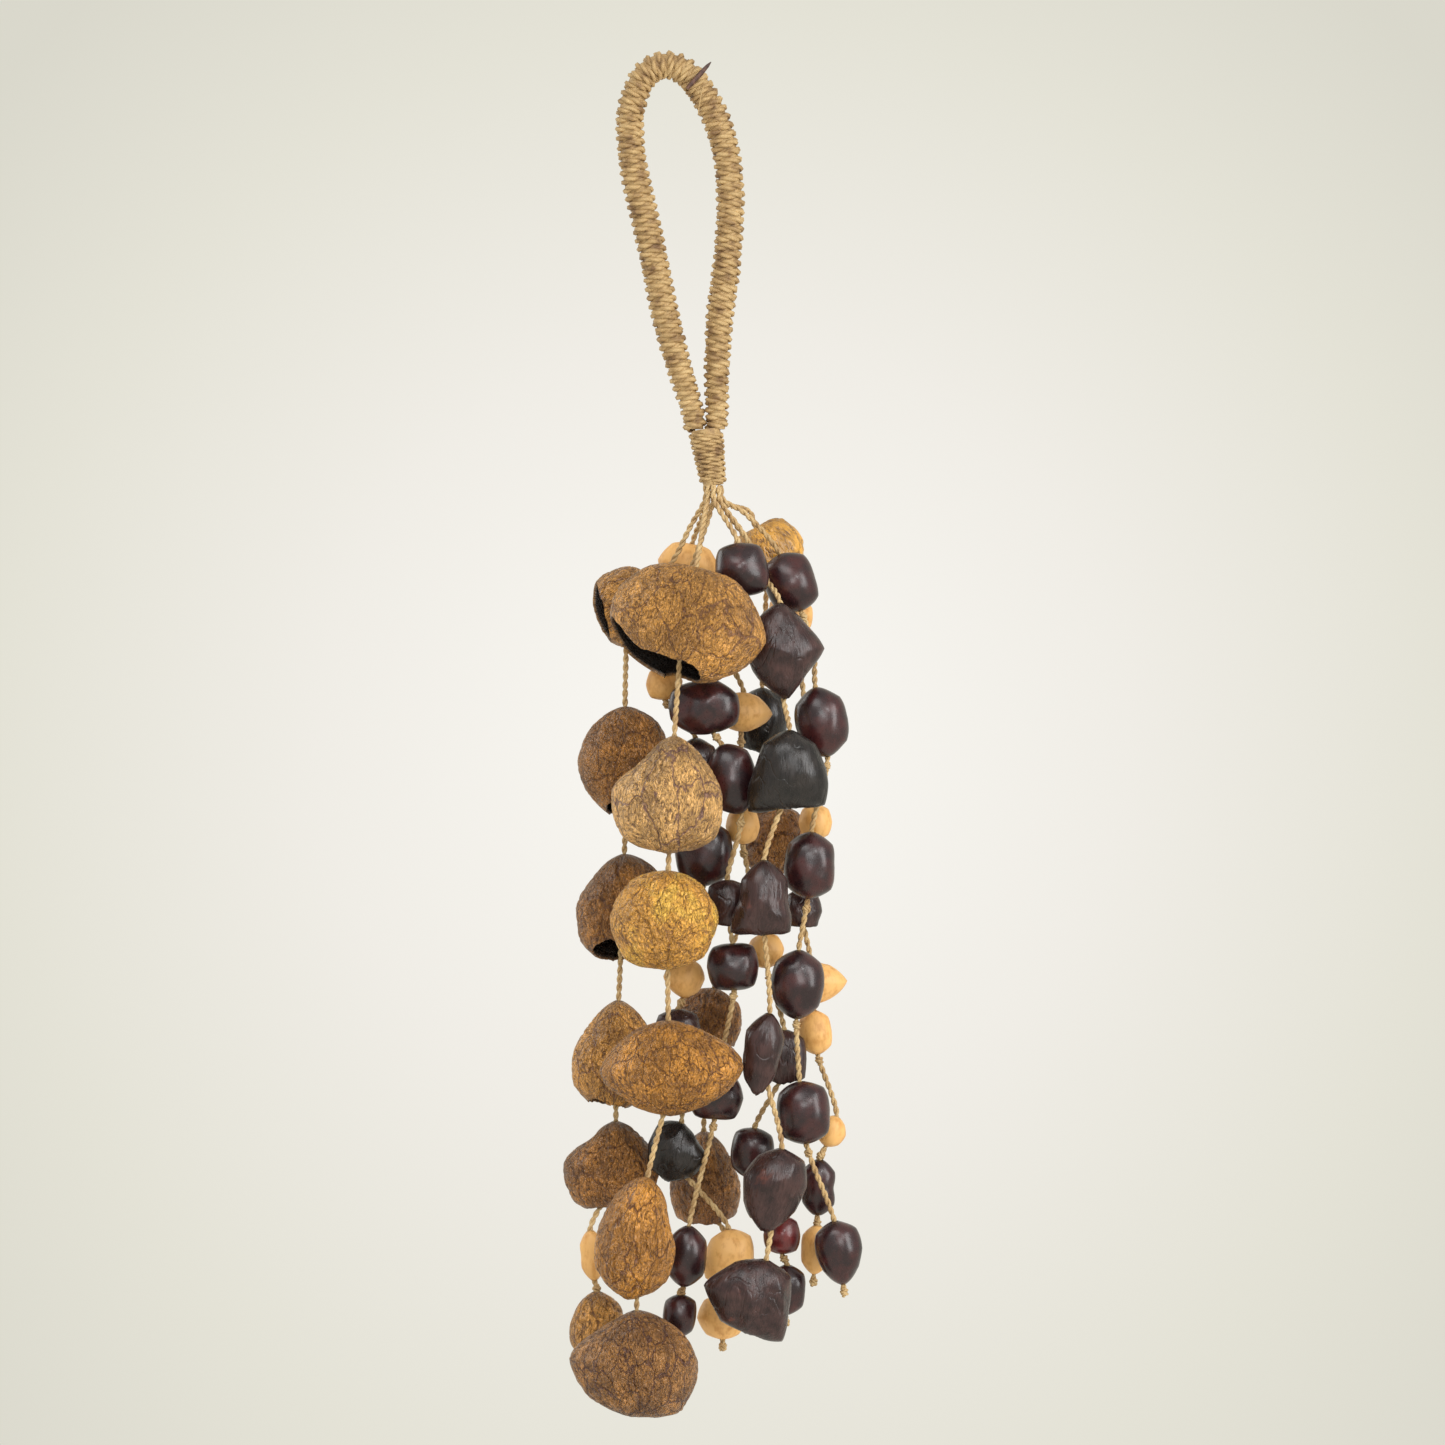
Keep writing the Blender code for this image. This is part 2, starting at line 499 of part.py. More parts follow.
def fuse_shells(cord, string, materials):
    """Joins an inner cord and the small shells that sit tight on it into one solid."""
    depsgraph = bpy.context.evaluated_depsgraph_get()
    mesh = bpy.data.meshes.new_from_object(cord.evaluated_get(depsgraph))
    name = cord.name
    curve = cord.data
    bpy.data.objects.remove(cord)
    bpy.data.curves.remove(curve)
    body = bpy.data.objects.new(name, mesh)
    bpy.context.scene.collection.objects.link(body)
    group = bmesh.new()
    for kind, middle, lean, reach, depth, mouth in string["shells"]:
        bm = shell_bmesh(kind, middle, lean, reach, depth, mouth, fused=True)
        bmesh.ops.recalc_face_normals(bm, faces=bm.faces)
        part = bpy.data.meshes.new("shell")
        bm.to_mesh(part)
        bm.free()
        group.from_mesh(part)
        bpy.data.meshes.remove(part)
    cutter = finish_mesh(name + "_shells", group, materials["seed"])
    cutter.hide_render = True
    cutter.display_type = "WIRE"
    union = body.modifiers.new("shells", "BOOLEAN")
    union.operation = "UNION"
    union.solver = "EXACT"
    union.object = cutter
    return body


def build_rattle():
    for obj in list(bpy.data.objects):
        bpy.data.objects.remove(obj)
    straw = make_material("straw", (0.52, 0.37, 0.17), 0.8)
    materials = {
        "nutshell": make_material("brown_nutshell", (0.33, 0.16, 0.05), 0.45),
        "nut": make_material("pale_nut", (0.75, 0.43, 0.18), 0.5),
        "seed": make_material("purple_seed", (0.04, 0.014, 0.018), 0.25),
        "pod": make_material("black_pod", (0.05, 0.036, 0.038), 0.5),
    }
    make_handle(straw)
    make_collar(straw)
    make_peg(make_material("peg_wood", (0.05, 0.02, 0.01), 0.5))
    for name, string in STRINGS.items():
        make_cord(name, string, straw)
        for shell_name, middle, lean, reach, depth, mouth in string["shells"]:
            kind = shell_name.split("_")[0]
            bm = shell_bmesh(kind, middle, lean, reach, depth, mouth)
            finish_mesh(shell_name, bm, materials[kind])
    for name, string in INNER_STRINGS.items():
        cord = make_cord(name, string, straw, fused=True)
        fuse_shells(cord, string, materials)


build_rattle()
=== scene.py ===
import bmesh
import bpy
import math
import numpy as np
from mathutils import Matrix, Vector, noise


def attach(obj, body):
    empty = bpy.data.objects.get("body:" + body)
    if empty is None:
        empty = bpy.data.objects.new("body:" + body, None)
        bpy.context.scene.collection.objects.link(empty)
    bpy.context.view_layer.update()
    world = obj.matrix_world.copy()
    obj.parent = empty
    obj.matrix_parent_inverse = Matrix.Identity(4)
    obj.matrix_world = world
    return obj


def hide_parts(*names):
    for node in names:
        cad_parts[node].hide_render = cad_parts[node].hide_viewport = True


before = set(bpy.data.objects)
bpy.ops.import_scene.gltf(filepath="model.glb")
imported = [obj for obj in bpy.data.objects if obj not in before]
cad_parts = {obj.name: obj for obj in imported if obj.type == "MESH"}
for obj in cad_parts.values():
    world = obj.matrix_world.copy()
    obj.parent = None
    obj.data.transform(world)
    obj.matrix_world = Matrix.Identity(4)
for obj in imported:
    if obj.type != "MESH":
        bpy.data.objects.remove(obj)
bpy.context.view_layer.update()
mm = 0.001

# The grip's middle line: x in millimetres, height in hundredths of the loop's length
gripRoute = [
    (11.6, -99.6), (11.4, -96.7), (8.3, -88.3), (4.7, -79.4), (0.1, -65.9), (-3.4, -52.5),
    (-7.2, -39.3), (-10.9, -27.1), (-12.6, -17.1), (-12.6, -8.8), (-11.2, -5.2), (-8.6, 0.0),
    (-4.6, 3.1), (0.6, 4.4), (6.8, 2.9), (12.2, -1.2), (18, -8.5), (21.4, -15.1),
    (23.8, -22.8), (24.9, -35.7), (24, -48.2), (22.8, -57.1), (21.1, -65.9), (20.3, -74.9),
    (19.8, -83.9), (19.8, -95.9), (19.7, -98.9),
]

# The same strings of shells as in the frame, in millimetres: the angle where the cord leaves the
# collar, then each shell's name, middle (x, y, drop below the collar), lean of its thread in
# degrees, reach in eight directions clockwise from up, half depth and mouth (how far down in
# degrees, the side that it is turned to, how far its edge swings that way)
strings = {
    "cord_left_back": {"exit": 180, "shells": [
        ("nutshell_left_back_1", (-14, 6, 45), 52,
         (15, 15, 15.5, 16, 16, 16, 15.5, 15.5), 12.5, (119, 270, 12)),
        ("nutshell_left_back_2", (-14, 6, 102), -2,
         (20, 18, 17, 19, 25, 21, 19, 18), 13, (158, 215, 8)),
        ("nutshell_left_back_3", (-16, 6, 157.5), 3,
         (20, 19, 16, 19, 24, 21.5, 17, 16), 13, (156, 225, 12)),
        ("nutshell_left_back_4", (-18.5, 6, 212.5), 4,
         (20, 16, 15, 20.5, 24, 21, 16, 14.5), 13, (151, 225, 8)),
        ("nutshell_left_back_5", (-19.2, 11, 256.4), 3,
         (18, 16, 18, 18, 18.5, 20.5, 19.5, 14.5), 12, (148, 90, 8)),
        ("nut_left_back", (-27, 7, 289.4), -5, (10.5, 6.5, 4.6, 6.5, 10.5, 6.5, 4.6, 6.5), 5, None),
        ("nutshell_left_back_6", (-26.2, 6.5, 315.6), 4,
         (13.5, 12.5, 12, 13, 15, 12, 9.5, 10.5), 11, (150, 90, 14)),
    ]},
    "cord_left_front": {"exit": 225, "shells": [
        ("nutshell_left_front_1", (6.5, -24, 51), 16,
         (21, 22.5, 33, 27, 21.5, 23.5, 27.5, 24.5), 16, (144, 245, 26)),
        ("nutshell_left_front_2", (3, -24, 115), 3,
         (22, 17.5, 19.5, 24, 23.5, 25, 22.5, 16.5), 16, (150, 90, 22)),
        ("nutshell_left_front_3", (1.5, -24, 161.5), 1,
         (18.5, 18.5, 19.5, 20, 20, 22.5, 22, 20), 16, (148, 90, 22)),
        ("nutshell_left_front_4", (2.5, -24, 217), -2,
         (18.5, 19.5, 28, 20, 18.5, 20, 26.5, 20), 16, (148, 90, 22)),
        ("nutshell_left_front_5", (-10, -24, 281), 10,
         (25, 15.5, 15, 19.5, 23, 18.5, 15.5, 18), 14, (148, 90, 22)),
        ("nutshell_left_front_6", (-10.5, -24, 325), 2,
         (19, 20, 24, 26, 22, 22, 25, 17.5), 16, (150, 90, 20)),
    ]},
    "cord_centre": {"exit": 270, "shells": [
        ("seed_centre_1", (28.8, -10, 31.6), -5,
         (10.2, 11, 10.4, 12.4, 10.7, 11, 10.2, 11), 9, None),
        ("seed_centre_2", (15, -7, 83.2), -20,
         (10.9, 11.6, 13.6, 13.8, 10.9, 11.6, 13.6, 13.6), 8, None),
        ("seed_centre_3", (25.4, -9, 110), -16, (14, 12.4, 10, 10.8, 14, 12.4, 9.8, 10.8), 8, None),
        ("pod_centre", (24, -6, 157), -2, (10, 10, 8, 10, 11, 10, 8, 10), 7, (130, 90, 22)),
        ("seed_centre_4", (26, -8, 180), -2, (9, 11, 10, 11, 9.4, 10.8, 10.2, 10.8), 8.5, None),
        ("seed_centre_5", (19.5, -4, 229), 4, (8.5, 10.5, 10.8, 11, 8.8, 11, 11, 10.5), 8, None),
        ("seed_centre_6", (8.4, -6, 288.6), 5, (12.2, 9.8, 8, 9.8, 12, 9.6, 8, 9.8), 7.5, None),
        ("seed_centre_7", (5.6, -4, 311), 4, (8.6, 8.6, 6.9, 7.8, 8.6, 7.6, 6.4, 8), 6.5, None),
    ]},
    "cord_right_front": {"exit": 315, "shells": [
        ("pod_right_1", (44.3, -10, 62.1), -3,
         (19, 13.8, 16.2, 11.4, 20, 12.6, 12, 12.8), 11, (140, 90, 28)),
        ("pod_right_2", (46.9, -19, 106.4), 0,
         (15.5, 14.3, 14.7, 18.5, 15, 22.5, 12.5, 12.8), 11, (143, 90, 25)),
        ("pod_right_3", (36.8, -19, 155.6), 2,
         (16.5, 12.7, 9.9, 15.5, 13.4, 16.6, 9.3, 12.6), 9, (143, 90, 25)),
        ("pod_right_4", (37.1, -17, 211.8), 9,
         (16, 10.8, 7.6, 8.8, 18, 10, 7.4, 11), 7.5, (148, 90, 20)),
        ("pod_right_5", (41.5, -19, 259), 12,
         (12.7, 13, 12.3, 13.8, 22, 14.5, 12, 11.4), 10, (148, 90, 20)),
        ("pod_right_6", (34.6, -19, 302.7), 14,
         (15.3, 15.2, 13.2, 19, 14.8, 16, 20.5, 15.8), 10, (148, 90, 18)),
    ]},
    "cord_right": {"exit": 0, "shells": [
        ("seed_right_1", (47.5, 4, 36.4), -20, (12, 12, 10, 12, 12, 11.4, 9.8, 11.8), 9, None),
        ("seed_right_2", (59, -3, 89), -10, (14, 12.2, 10.4, 12, 13.6, 12, 10.2, 12), 9, None),
        ("seed_right_3", (54.5, -4, 142.6), 3, (13.4, 12, 10, 12, 13, 12, 9.8, 11.8), 9, None),
        ("seed_right_4", (50, -5, 187), 2, (13.6, 12.2, 10.6, 12, 13.5, 11.6, 10.2, 12), 9, None),
        ("seed_right_5", (52, -5, 234.8), -6,
         (12.2, 12.6, 10.6, 12.4, 12.4, 12, 10.2, 12), 9, None),
        ("seed_right_6", (65.3, -6, 286.6), -8, (12, 11, 9.2, 10, 13.2, 9.6, 9, 10.8), 8, None),
    ]},
    "cord_right_back": {"exit": 45, "shells": [
        ("nut_right_back_1", (47.5, 19, 48), -14, (9.5, 9.5, 9, 9.5, 9, 8.5, 8.5, 9), 7, None),
        ("nut_right_back_2", (57, 13, 126.5), 0,
         (7.2, 7.2, 6.7, 7.2, 7.2, 7.2, 6.7, 7.2), 6.5, None),
        ("pod_right_back", (52, 13, 160), 2,
         (8.5, 8.5, 8, 8.5, 8.5, 8.5, 8, 8.5), 7, (130, 90, 14)),
        ("nut_right_back_3", (56, 13, 187.4), -4,
         (8.4, 9.6, 13.4, 9.2, 8.2, 7.5, 8, 7.5), 7.5, None),
        ("nut_right_back_4", (57, 13, 205.9), -6, (9, 8, 6.6, 8, 9, 8, 6.6, 8), 6, None),
        ("nut_right_back_5", (63, 11.5, 243), 20, (6.5, 6, 6, 6.4, 6.6, 6.2, 5.6, 6), 6, None),
        ("seed_right_back", (58, 10.5, 264.2), 2, (11.4, 9, 6, 9, 11.4, 8.6, 6, 8.6), 5.5, None),
        ("nut_right_back_6", (57, 10.5, 287.6), 4, (10, 8, 5.8, 7.6, 10, 7.4, 5.8, 7.8), 6, None),
    ]},
    "cord_back_right": {"exit": 90, "shells": [
        ("nutshell_back_1", (39, 27, 25.2), -24,
         (12, 15.5, 15, 14, 12, 11.5, 11.5, 14), 12, (140, 90, 16)),
        ("pod_back", (37, 26, 89), 0,
         (14, 12.5, 10.5, 12.5, 14, 12.5, 10.5, 12.5), 10, (135, 90, 20)),
        ("nutshell_back_2", (41, 28, 133), 2,
         (13, 14.5, 12.5, 14.5, 16, 14.5, 12.5, 14.5), 12, (145, 90, 18)),
        ("nutshell_back_3", (16.5, 28, 203.5), 10,
         (14.5, 14.5, 13, 14.5, 15, 14.5, 13.5, 14.5), 12, (140, 0, 20)),
        ("nutshell_back_4", (15.5, 28, 264), -2,
         (20.5, 14.5, 13.5, 17, 20.5, 17.5, 14, 14.5), 13, (138, 90, 14)),
        ("nutshell_back_5", (29.5, 28, 303), -8,
         (12, 12, 12, 12, 12, 12, 12, 12), 11, (145, 120, 18)),
    ]},
}

# The two inner strings, whose shells are one solid with their cord in the frame
innerStrings = {
    "cord_back_centre": {"exit": 135, "shells": [
        ("nut", (9, 15, 29.5), 10, (8.6, 10.4, 11.8, 10, 8.4, 10, 12, 10.6), 7.5, None),
        ("nut", (29.5, 10, 85), 4, (8, 8.8, 11.6, 8.6, 8, 8.6, 8.5, 8.6), 7, None),
        ("nut", (29.5, 9, 128), 0, (7.5, 7.5, 6.8, 7.4, 7.4, 7.4, 6.8, 7.4), 6.5, None),
        ("nut", (38, 10, 175), -6, (7, 7.8, 7.5, 7.2, 7, 7.2, 7.5, 7.2), 6.5, None),
        ("pod", (45.5, 5, 215.5), -2, (12, 10.5, 8.4, 10.5, 13, 10.5, 8, 10.5), 6.5, (135, 90, 20)),
        ("seed", (33, 8, 250.5), 6, (9.5, 10, 8.5, 10, 10.5, 10, 8.5, 10), 7.5, None),
        ("seed", (44.3, 3.5, 281.5), 2, (7.6, 8, 7, 8, 7.6, 8, 7.4, 8), 6.2, None),
        ("seed", (46, 3, 302), 2, (10, 9.2, 7.4, 9, 10, 9, 8, 9.2), 6.2, None),
    ]},
    "cord_inner_left": {"exit": None, "shells": [
        ("nut", (-0.5, 4, 74), -6, (6.4, 7.4, 8, 8, 7, 7.4, 6.6, 6.8), 6.5, None),
        ("pod", (12.5, 3, 105), -4, (11, 10, 9, 11, 12, 10, 7.5, 10), 8, (135, 90, 22)),
        ("seed", (15.2, 4, 138.2), 2, (13, 12.6, 11.4, 12.4, 12.8, 12.6, 11.6, 12.6), 8, None),
        ("nut", (8, 4, 185), 4, (8.5, 7.8, 7.8, 7.4, 8, 7.4, 8.5, 7.8), 6.5, None),
        ("pod", (5, 5, 206), 0, (10, 10.5, 9, 9, 9, 9, 9, 10.5), 7.5, (135, 90, 22)),
        ("pod", (4, -1, 249.3), 14, (11.5, 9.6, 14, 12, 13, 11.5, 10.6, 12.4), 7.5, (143, 90, 24)),
        ("nut", (24, 7, 290), 2, (11, 12, 10, 10, 11, 12, 9.5, 9.5), 7.5, None),
        ("nut", (22, 7, 313), 0, (9, 10, 9.5, 9, 8.5, 9, 10, 10), 7.5, None),
    ]},
}

# Points that a cord passes before it reaches the shell
wayPoints = {
    "nutshell_back_1": [(32.8, 25.6, 9.5)],
    "nutshell_left_back_1": [(10, 3, 15), (4, 5, 27)],
    "nutshell_left_front_1": [(15, -6, 13)],
    "pod_right_1": [(31, 0.5, 20), (37.5, -2, 34)],
    "pod_right_2": [(44.7, -10.4, 80)],
    "seed_right_1": [(30, 3.5, 10)],
    "seed_right_2": [(56, 2, 60)],
}

loopLength = 131.4
cordSizes = {"diameter": 2.3, "start": 4.0, "recess": 0.5, "tail": 6.0, "pocketDrop": 11.0,
             "pocketShare": 0.3}
knotSizes = {"radius": 0.95, "length": 2.6, "turns": 2.5, "pitch": 5.0, "drop": 1.8}
collarSizes = {"top": (15.6, 0.0, -loopLength), "bottom": (18.6, 0.0, -loopLength - 20.6),
               "topWidth": 13.4, "bottomWidth": 9.6, "ring": (3.0, 4.1), "edge": 1.0}
# Each kind's thread hole and wall in millimetres, share of straight edge between its reaches, depth
# below the frame's skin, count of sides, outer and inner rings, material slot and plain finish
shellForms = {
    "nutshell": {"hole": 2.15, "wall": 1.9, "edged": 0.3, "sunk": 0.6, "detail": (150, 56, 12),
                 "slot": "brown_nutshell", "finish": "Gold"},
    "pod": {"hole": 2.15, "wall": 1.5, "edged": 0.6, "sunk": 0.3, "detail": (96, 34, 12),
            "slot": "black_pod", "finish": "Brown"},
    "seed": {"hole": 1.9, "wall": 0, "edged": 0.4, "sunk": 0.3, "detail": (72, 40, 0),
             "slot": "purple_seed", "finish": "Plum"},
    "nut": {"hole": 1.9, "wall": 0, "edged": 0.5, "sunk": 0.3, "detail": (60, 32, 0),
            "slot": "pale_nut", "finish": "Pale"},
}
nutshellDetail = {"front": (216, 80, 12), "back": (110, 40, 12)}
# Share of a shell's depth that its skin is drawn with, as lumps stand out by the rest
skinDepth = 0.97


# Camera and studio

def makeCamera():
    shot = {"pixelMm": 0.375, "pixels": 1445, "distance": 2.0, "middle": (21.94, -240.94)}
    data = bpy.data.cameras.new("camera")
    data.sensor_width = 36.0
    data.lens = 36.0 * shot["distance"] / (shot["pixels"] * shot["pixelMm"] * mm)
    camera = bpy.data.objects.new("camera", data)
    camera.location = (shot["middle"][0] * mm, -shot["distance"], shot["middle"][1] * mm)
    camera.rotation_euler = (math.radians(90), 0, 0)
    bpy.context.scene.collection.objects.link(camera)
    bpy.context.scene.camera = camera
    return camera


def makeStudio():
    boxes = {
        "tallBox": {"place": (1.25, -0.95, 0.15), "size": (0.55, 1.3), "watts": 13.0},
        "topBox": {"place": (-0.35, -1.3, 1.05), "size": (1.2, 0.7), "watts": 9.0},
        "rimBox": {"place": (-1.0, 0.5, 0.25), "size": (0.5, 1.0), "watts": 3.5},
        "frontBox": {"place": (0.25, -1.7, 0.2), "size": (0.5, 0.5), "watts": 5.0},
        "sparkBox": {"place": (0.75, -1.5, 0.65), "size": (0.14, 0.14), "watts": 3.0},
    }
    aim = Vector((0.02, 0, -0.3))
    for name, box in boxes.items():
        data = bpy.data.lights.new(name, "AREA")
        data.shape = "RECTANGLE"
        data.size, data.size_y = box["size"]
        data.energy = box["watts"]
        light = bpy.data.objects.new(name, data)
        light.location = box["place"]
        light.rotation_euler = (aim - light.location).to_track_quat("-Z", "Y").to_euler()
        bpy.context.scene.collection.objects.link(light)
    world = bpy.data.worlds.new("studio")
    world.use_nodes = True
    world.node_tree.nodes["Background"].inputs["Color"].default_value = (1.0, 0.985, 0.95, 1)
    world.node_tree.nodes["Background"].inputs["Strength"].default_value = 0.62
    bpy.context.scene.world = world
    bpy.context.scene.view_settings.view_transform = "Standard"


def makeBackdrop():
    sweep = {"behind": 0.9, "floor": -0.62, "half": 3.0, "bend": 0.35, "front": -3.2, "top": 2.6}
    profile = [(sweep["front"], sweep["floor"])]
    for i in range(13):
        angle = math.pi / 2 * i / 12
        profile.append((sweep["behind"] - sweep["bend"] + sweep["bend"] * math.sin(angle),
                        sweep["floor"] + sweep["bend"] - sweep["bend"] * math.cos(angle)))
    profile.append((sweep["behind"], sweep["top"]))
    bm = bmesh.new()
    rows = [[bm.verts.new((x, y, z)) for x in (-sweep["half"], sweep["half"])] for y, z in profile]
    for low, high in zip(rows, rows[1:]):
        bm.faces.new((low[0], low[1], high[1], high[0]))
    mesh = bpy.data.meshes.new("backdrop")
    bm.to_mesh(mesh)
    bm.free()
    mesh.shade_smooth()
    backdrop = bpy.data.objects.new("backdrop", mesh)
    bpy.context.scene.collection.objects.link(backdrop)
    mesh.materials.append(backdropPaintedGlow())


# Materials, each in its shell's own stored coordinates or in the object's

def newMaterial(name):
    material = bpy.data.materials.new(name)
    material.use_nodes = True
    nodes = material.node_tree.nodes
    return material, nodes, material.node_tree.links, nodes["Principled BSDF"]


def feed(links, socket, value):
    if hasattr(value, "links"):
        links.new(value, socket)
    elif isinstance(value, tuple):
        socket.default_value = (*value, 1)
    elif value is not None:
        socket.default_value = value


def rampNode(nodes, links, value, stops):
    ramp = nodes.new("ShaderNodeValToRGB")
    while len(ramp.color_ramp.elements) < len(stops):
        ramp.color_ramp.elements.new(0.5)
    for element, (place, colour) in zip(ramp.color_ramp.elements, stops):
        element.position = place
        element.color = (*colour, 1)
    links.new(value, ramp.inputs["Fac"])
    return ramp.outputs["Color"]


def mixNode(nodes, links, share, first, second, kind="MIX"):
    mix = nodes.new("ShaderNodeMix")
    mix.data_type = "RGBA"
    mix.blend_type = kind
    for label, value in (("Factor", share), ("A", first), ("B", second)):
        feed(links, mix.inputs[label], value)
    return mix.outputs["Result"]


def mathNode(nodes, links, kind, first, second=None, third=None):
    step = nodes.new("ShaderNodeMath")
    step.operation = kind
    for socket, value in zip(step.inputs, (first, second, third)):
        feed(links, socket, value)
    return step.outputs[0]


def rangeNode(nodes, links, value, low, high, top=1.0, kind="LINEAR"):
    step = nodes.new("ShaderNodeMapRange")
    step.interpolation_type = kind
    step.inputs["From Max"].default_value = top
    step.inputs["To Min"].default_value = low
    step.inputs["To Max"].default_value = high
    links.new(value, step.inputs["Value"])
    return step.outputs["Result"]


def noiseNode(nodes, links, vector, scale, detail=3, distortion=0.0, roughness=0.5):
    tex = nodes.new("ShaderNodeTexNoise")
    tex.inputs["Scale"].default_value = scale
    tex.inputs["Detail"].default_value = detail
    tex.inputs["Distortion"].default_value = distortion
    tex.inputs["Roughness"].default_value = roughness
    links.new(vector, tex.inputs["Vector"])
    return tex.outputs["Fac"]


def bumpNode(nodes, links, shader, height, strength, distance):
    bump = nodes.new("ShaderNodeBump")
    bump.inputs["Strength"].default_value = strength
    bump.inputs["Distance"].default_value = distance
    links.new(height, bump.inputs["Height"])
    links.new(bump.outputs["Normal"], shader.inputs["Normal"])
    return bump.outputs["Normal"]


def storedNode(nodes, name):
    stored = nodes.new("ShaderNodeAttribute")
    stored.attribute_name = name
    return stored


def shellPlace(nodes, links, scale):
    turn = nodes.new("ShaderNodeMapping")
    turn.inputs["Scale"].default_value = scale
    links.new(storedNode(nodes, "shellMap").outputs["Vector"], turn.inputs["Vector"])
    return turn.outputs["Vector"]


def backdropPaintedGlow():
    # The backdrop glows for the camera and in reflections, though it is no lamp: painted light, brighter
    # in the middle and darker towards the edges.
    fade = {"across": 0.53, "middle": (0.022, -0.25),
            "stops": [(0.0, (0.700, 0.687, 0.604)), (0.256, (0.776, 0.761, 0.673)),
                      (0.585, (0.871, 0.847, 0.791)), (1.0, (0.956, 0.939, 0.896))]}
    material, nodes, links, shader = newMaterial("backdropPaintedGlow")
    shift = nodes.new("ShaderNodeMapping")
    shift.inputs["Scale"].default_value = (1 / fade["across"], 0.0, 1 / fade["across"])
    shift.inputs["Location"].default_value = (
        -fade["middle"][0] / fade["across"], 0, -fade["middle"][1] / fade["across"])
    ball = nodes.new("ShaderNodeTexGradient")
    ball.gradient_type = "SPHERICAL"
    links.new(nodes.new("ShaderNodeTexCoord").outputs["Object"], shift.inputs["Vector"])
    links.new(shift.outputs["Vector"], ball.inputs["Vector"])
    # Painted glow that stands in for the light falling on the backdrop.
    glow = nodes.new("ShaderNodeEmission")
    glow.inputs["Strength"].default_value = 1.0
    links.new(rampNode(nodes, links, ball.outputs["Fac"], fade["stops"]), glow.inputs["Color"])
    shader.inputs["Base Color"].default_value = (0.85, 0.83, 0.78, 1)
    shader.inputs["Roughness"].default_value = 0.9
    seen = nodes.new("ShaderNodeLightPath").outputs
    either = mathNode(nodes, links, "MAXIMUM", seen["Is Camera Ray"], seen["Is Glossy Ray"])
    behind = nodes.new("ShaderNodeNewGeometry").outputs["Backfacing"]
    clear = nodes.new("ShaderNodeBsdfTransparent").outputs[0]
    surface = shader.outputs[0]
    for share, other in ((either, glow.outputs[0]), (behind, clear)):
        blend = nodes.new("ShaderNodeMixShader")
        for socket, value in zip(blend.inputs, (share, surface, other)):
            links.new(value, socket)
        surface = blend.outputs[0]
    links.new(surface, nodes["Material Output"].inputs["Surface"])
    return material


def windingValleys(nodes, links, vector, scale, width, distortion):
    cloud = noiseNode(nodes, links, vector, scale, 2, distortion)
    away = mathNode(nodes, links, "ABSOLUTE", mathNode(nodes, links, "SUBTRACT", cloud, 0.5))
    return rangeNode(nodes, links, away, 0.0, 1.0, width, "SMOOTHSTEP")


def veinLines(nodes, links, vector, cell, thin):
    swing = nodes.new("ShaderNodeVectorMath")
    swing.operation = "MULTIPLY_ADD"
    swing.inputs[1].default_value = (6, 6, 6)
    links.new(noiseNode(nodes, links, vector, 0.22).node.outputs["Color"], swing.inputs[0])
    links.new(vector, swing.inputs[2])
    cells = nodes.new("ShaderNodeTexVoronoi")
    cells.feature = "DISTANCE_TO_EDGE"
    cells.inputs["Scale"].default_value = 1 / cell
    links.new(swing.outputs[0], cells.inputs["Vector"])
    return rangeNode(nodes, links, cells.outputs["Distance"], 1.0, 0.0, thin, "SMOOTHSTEP")


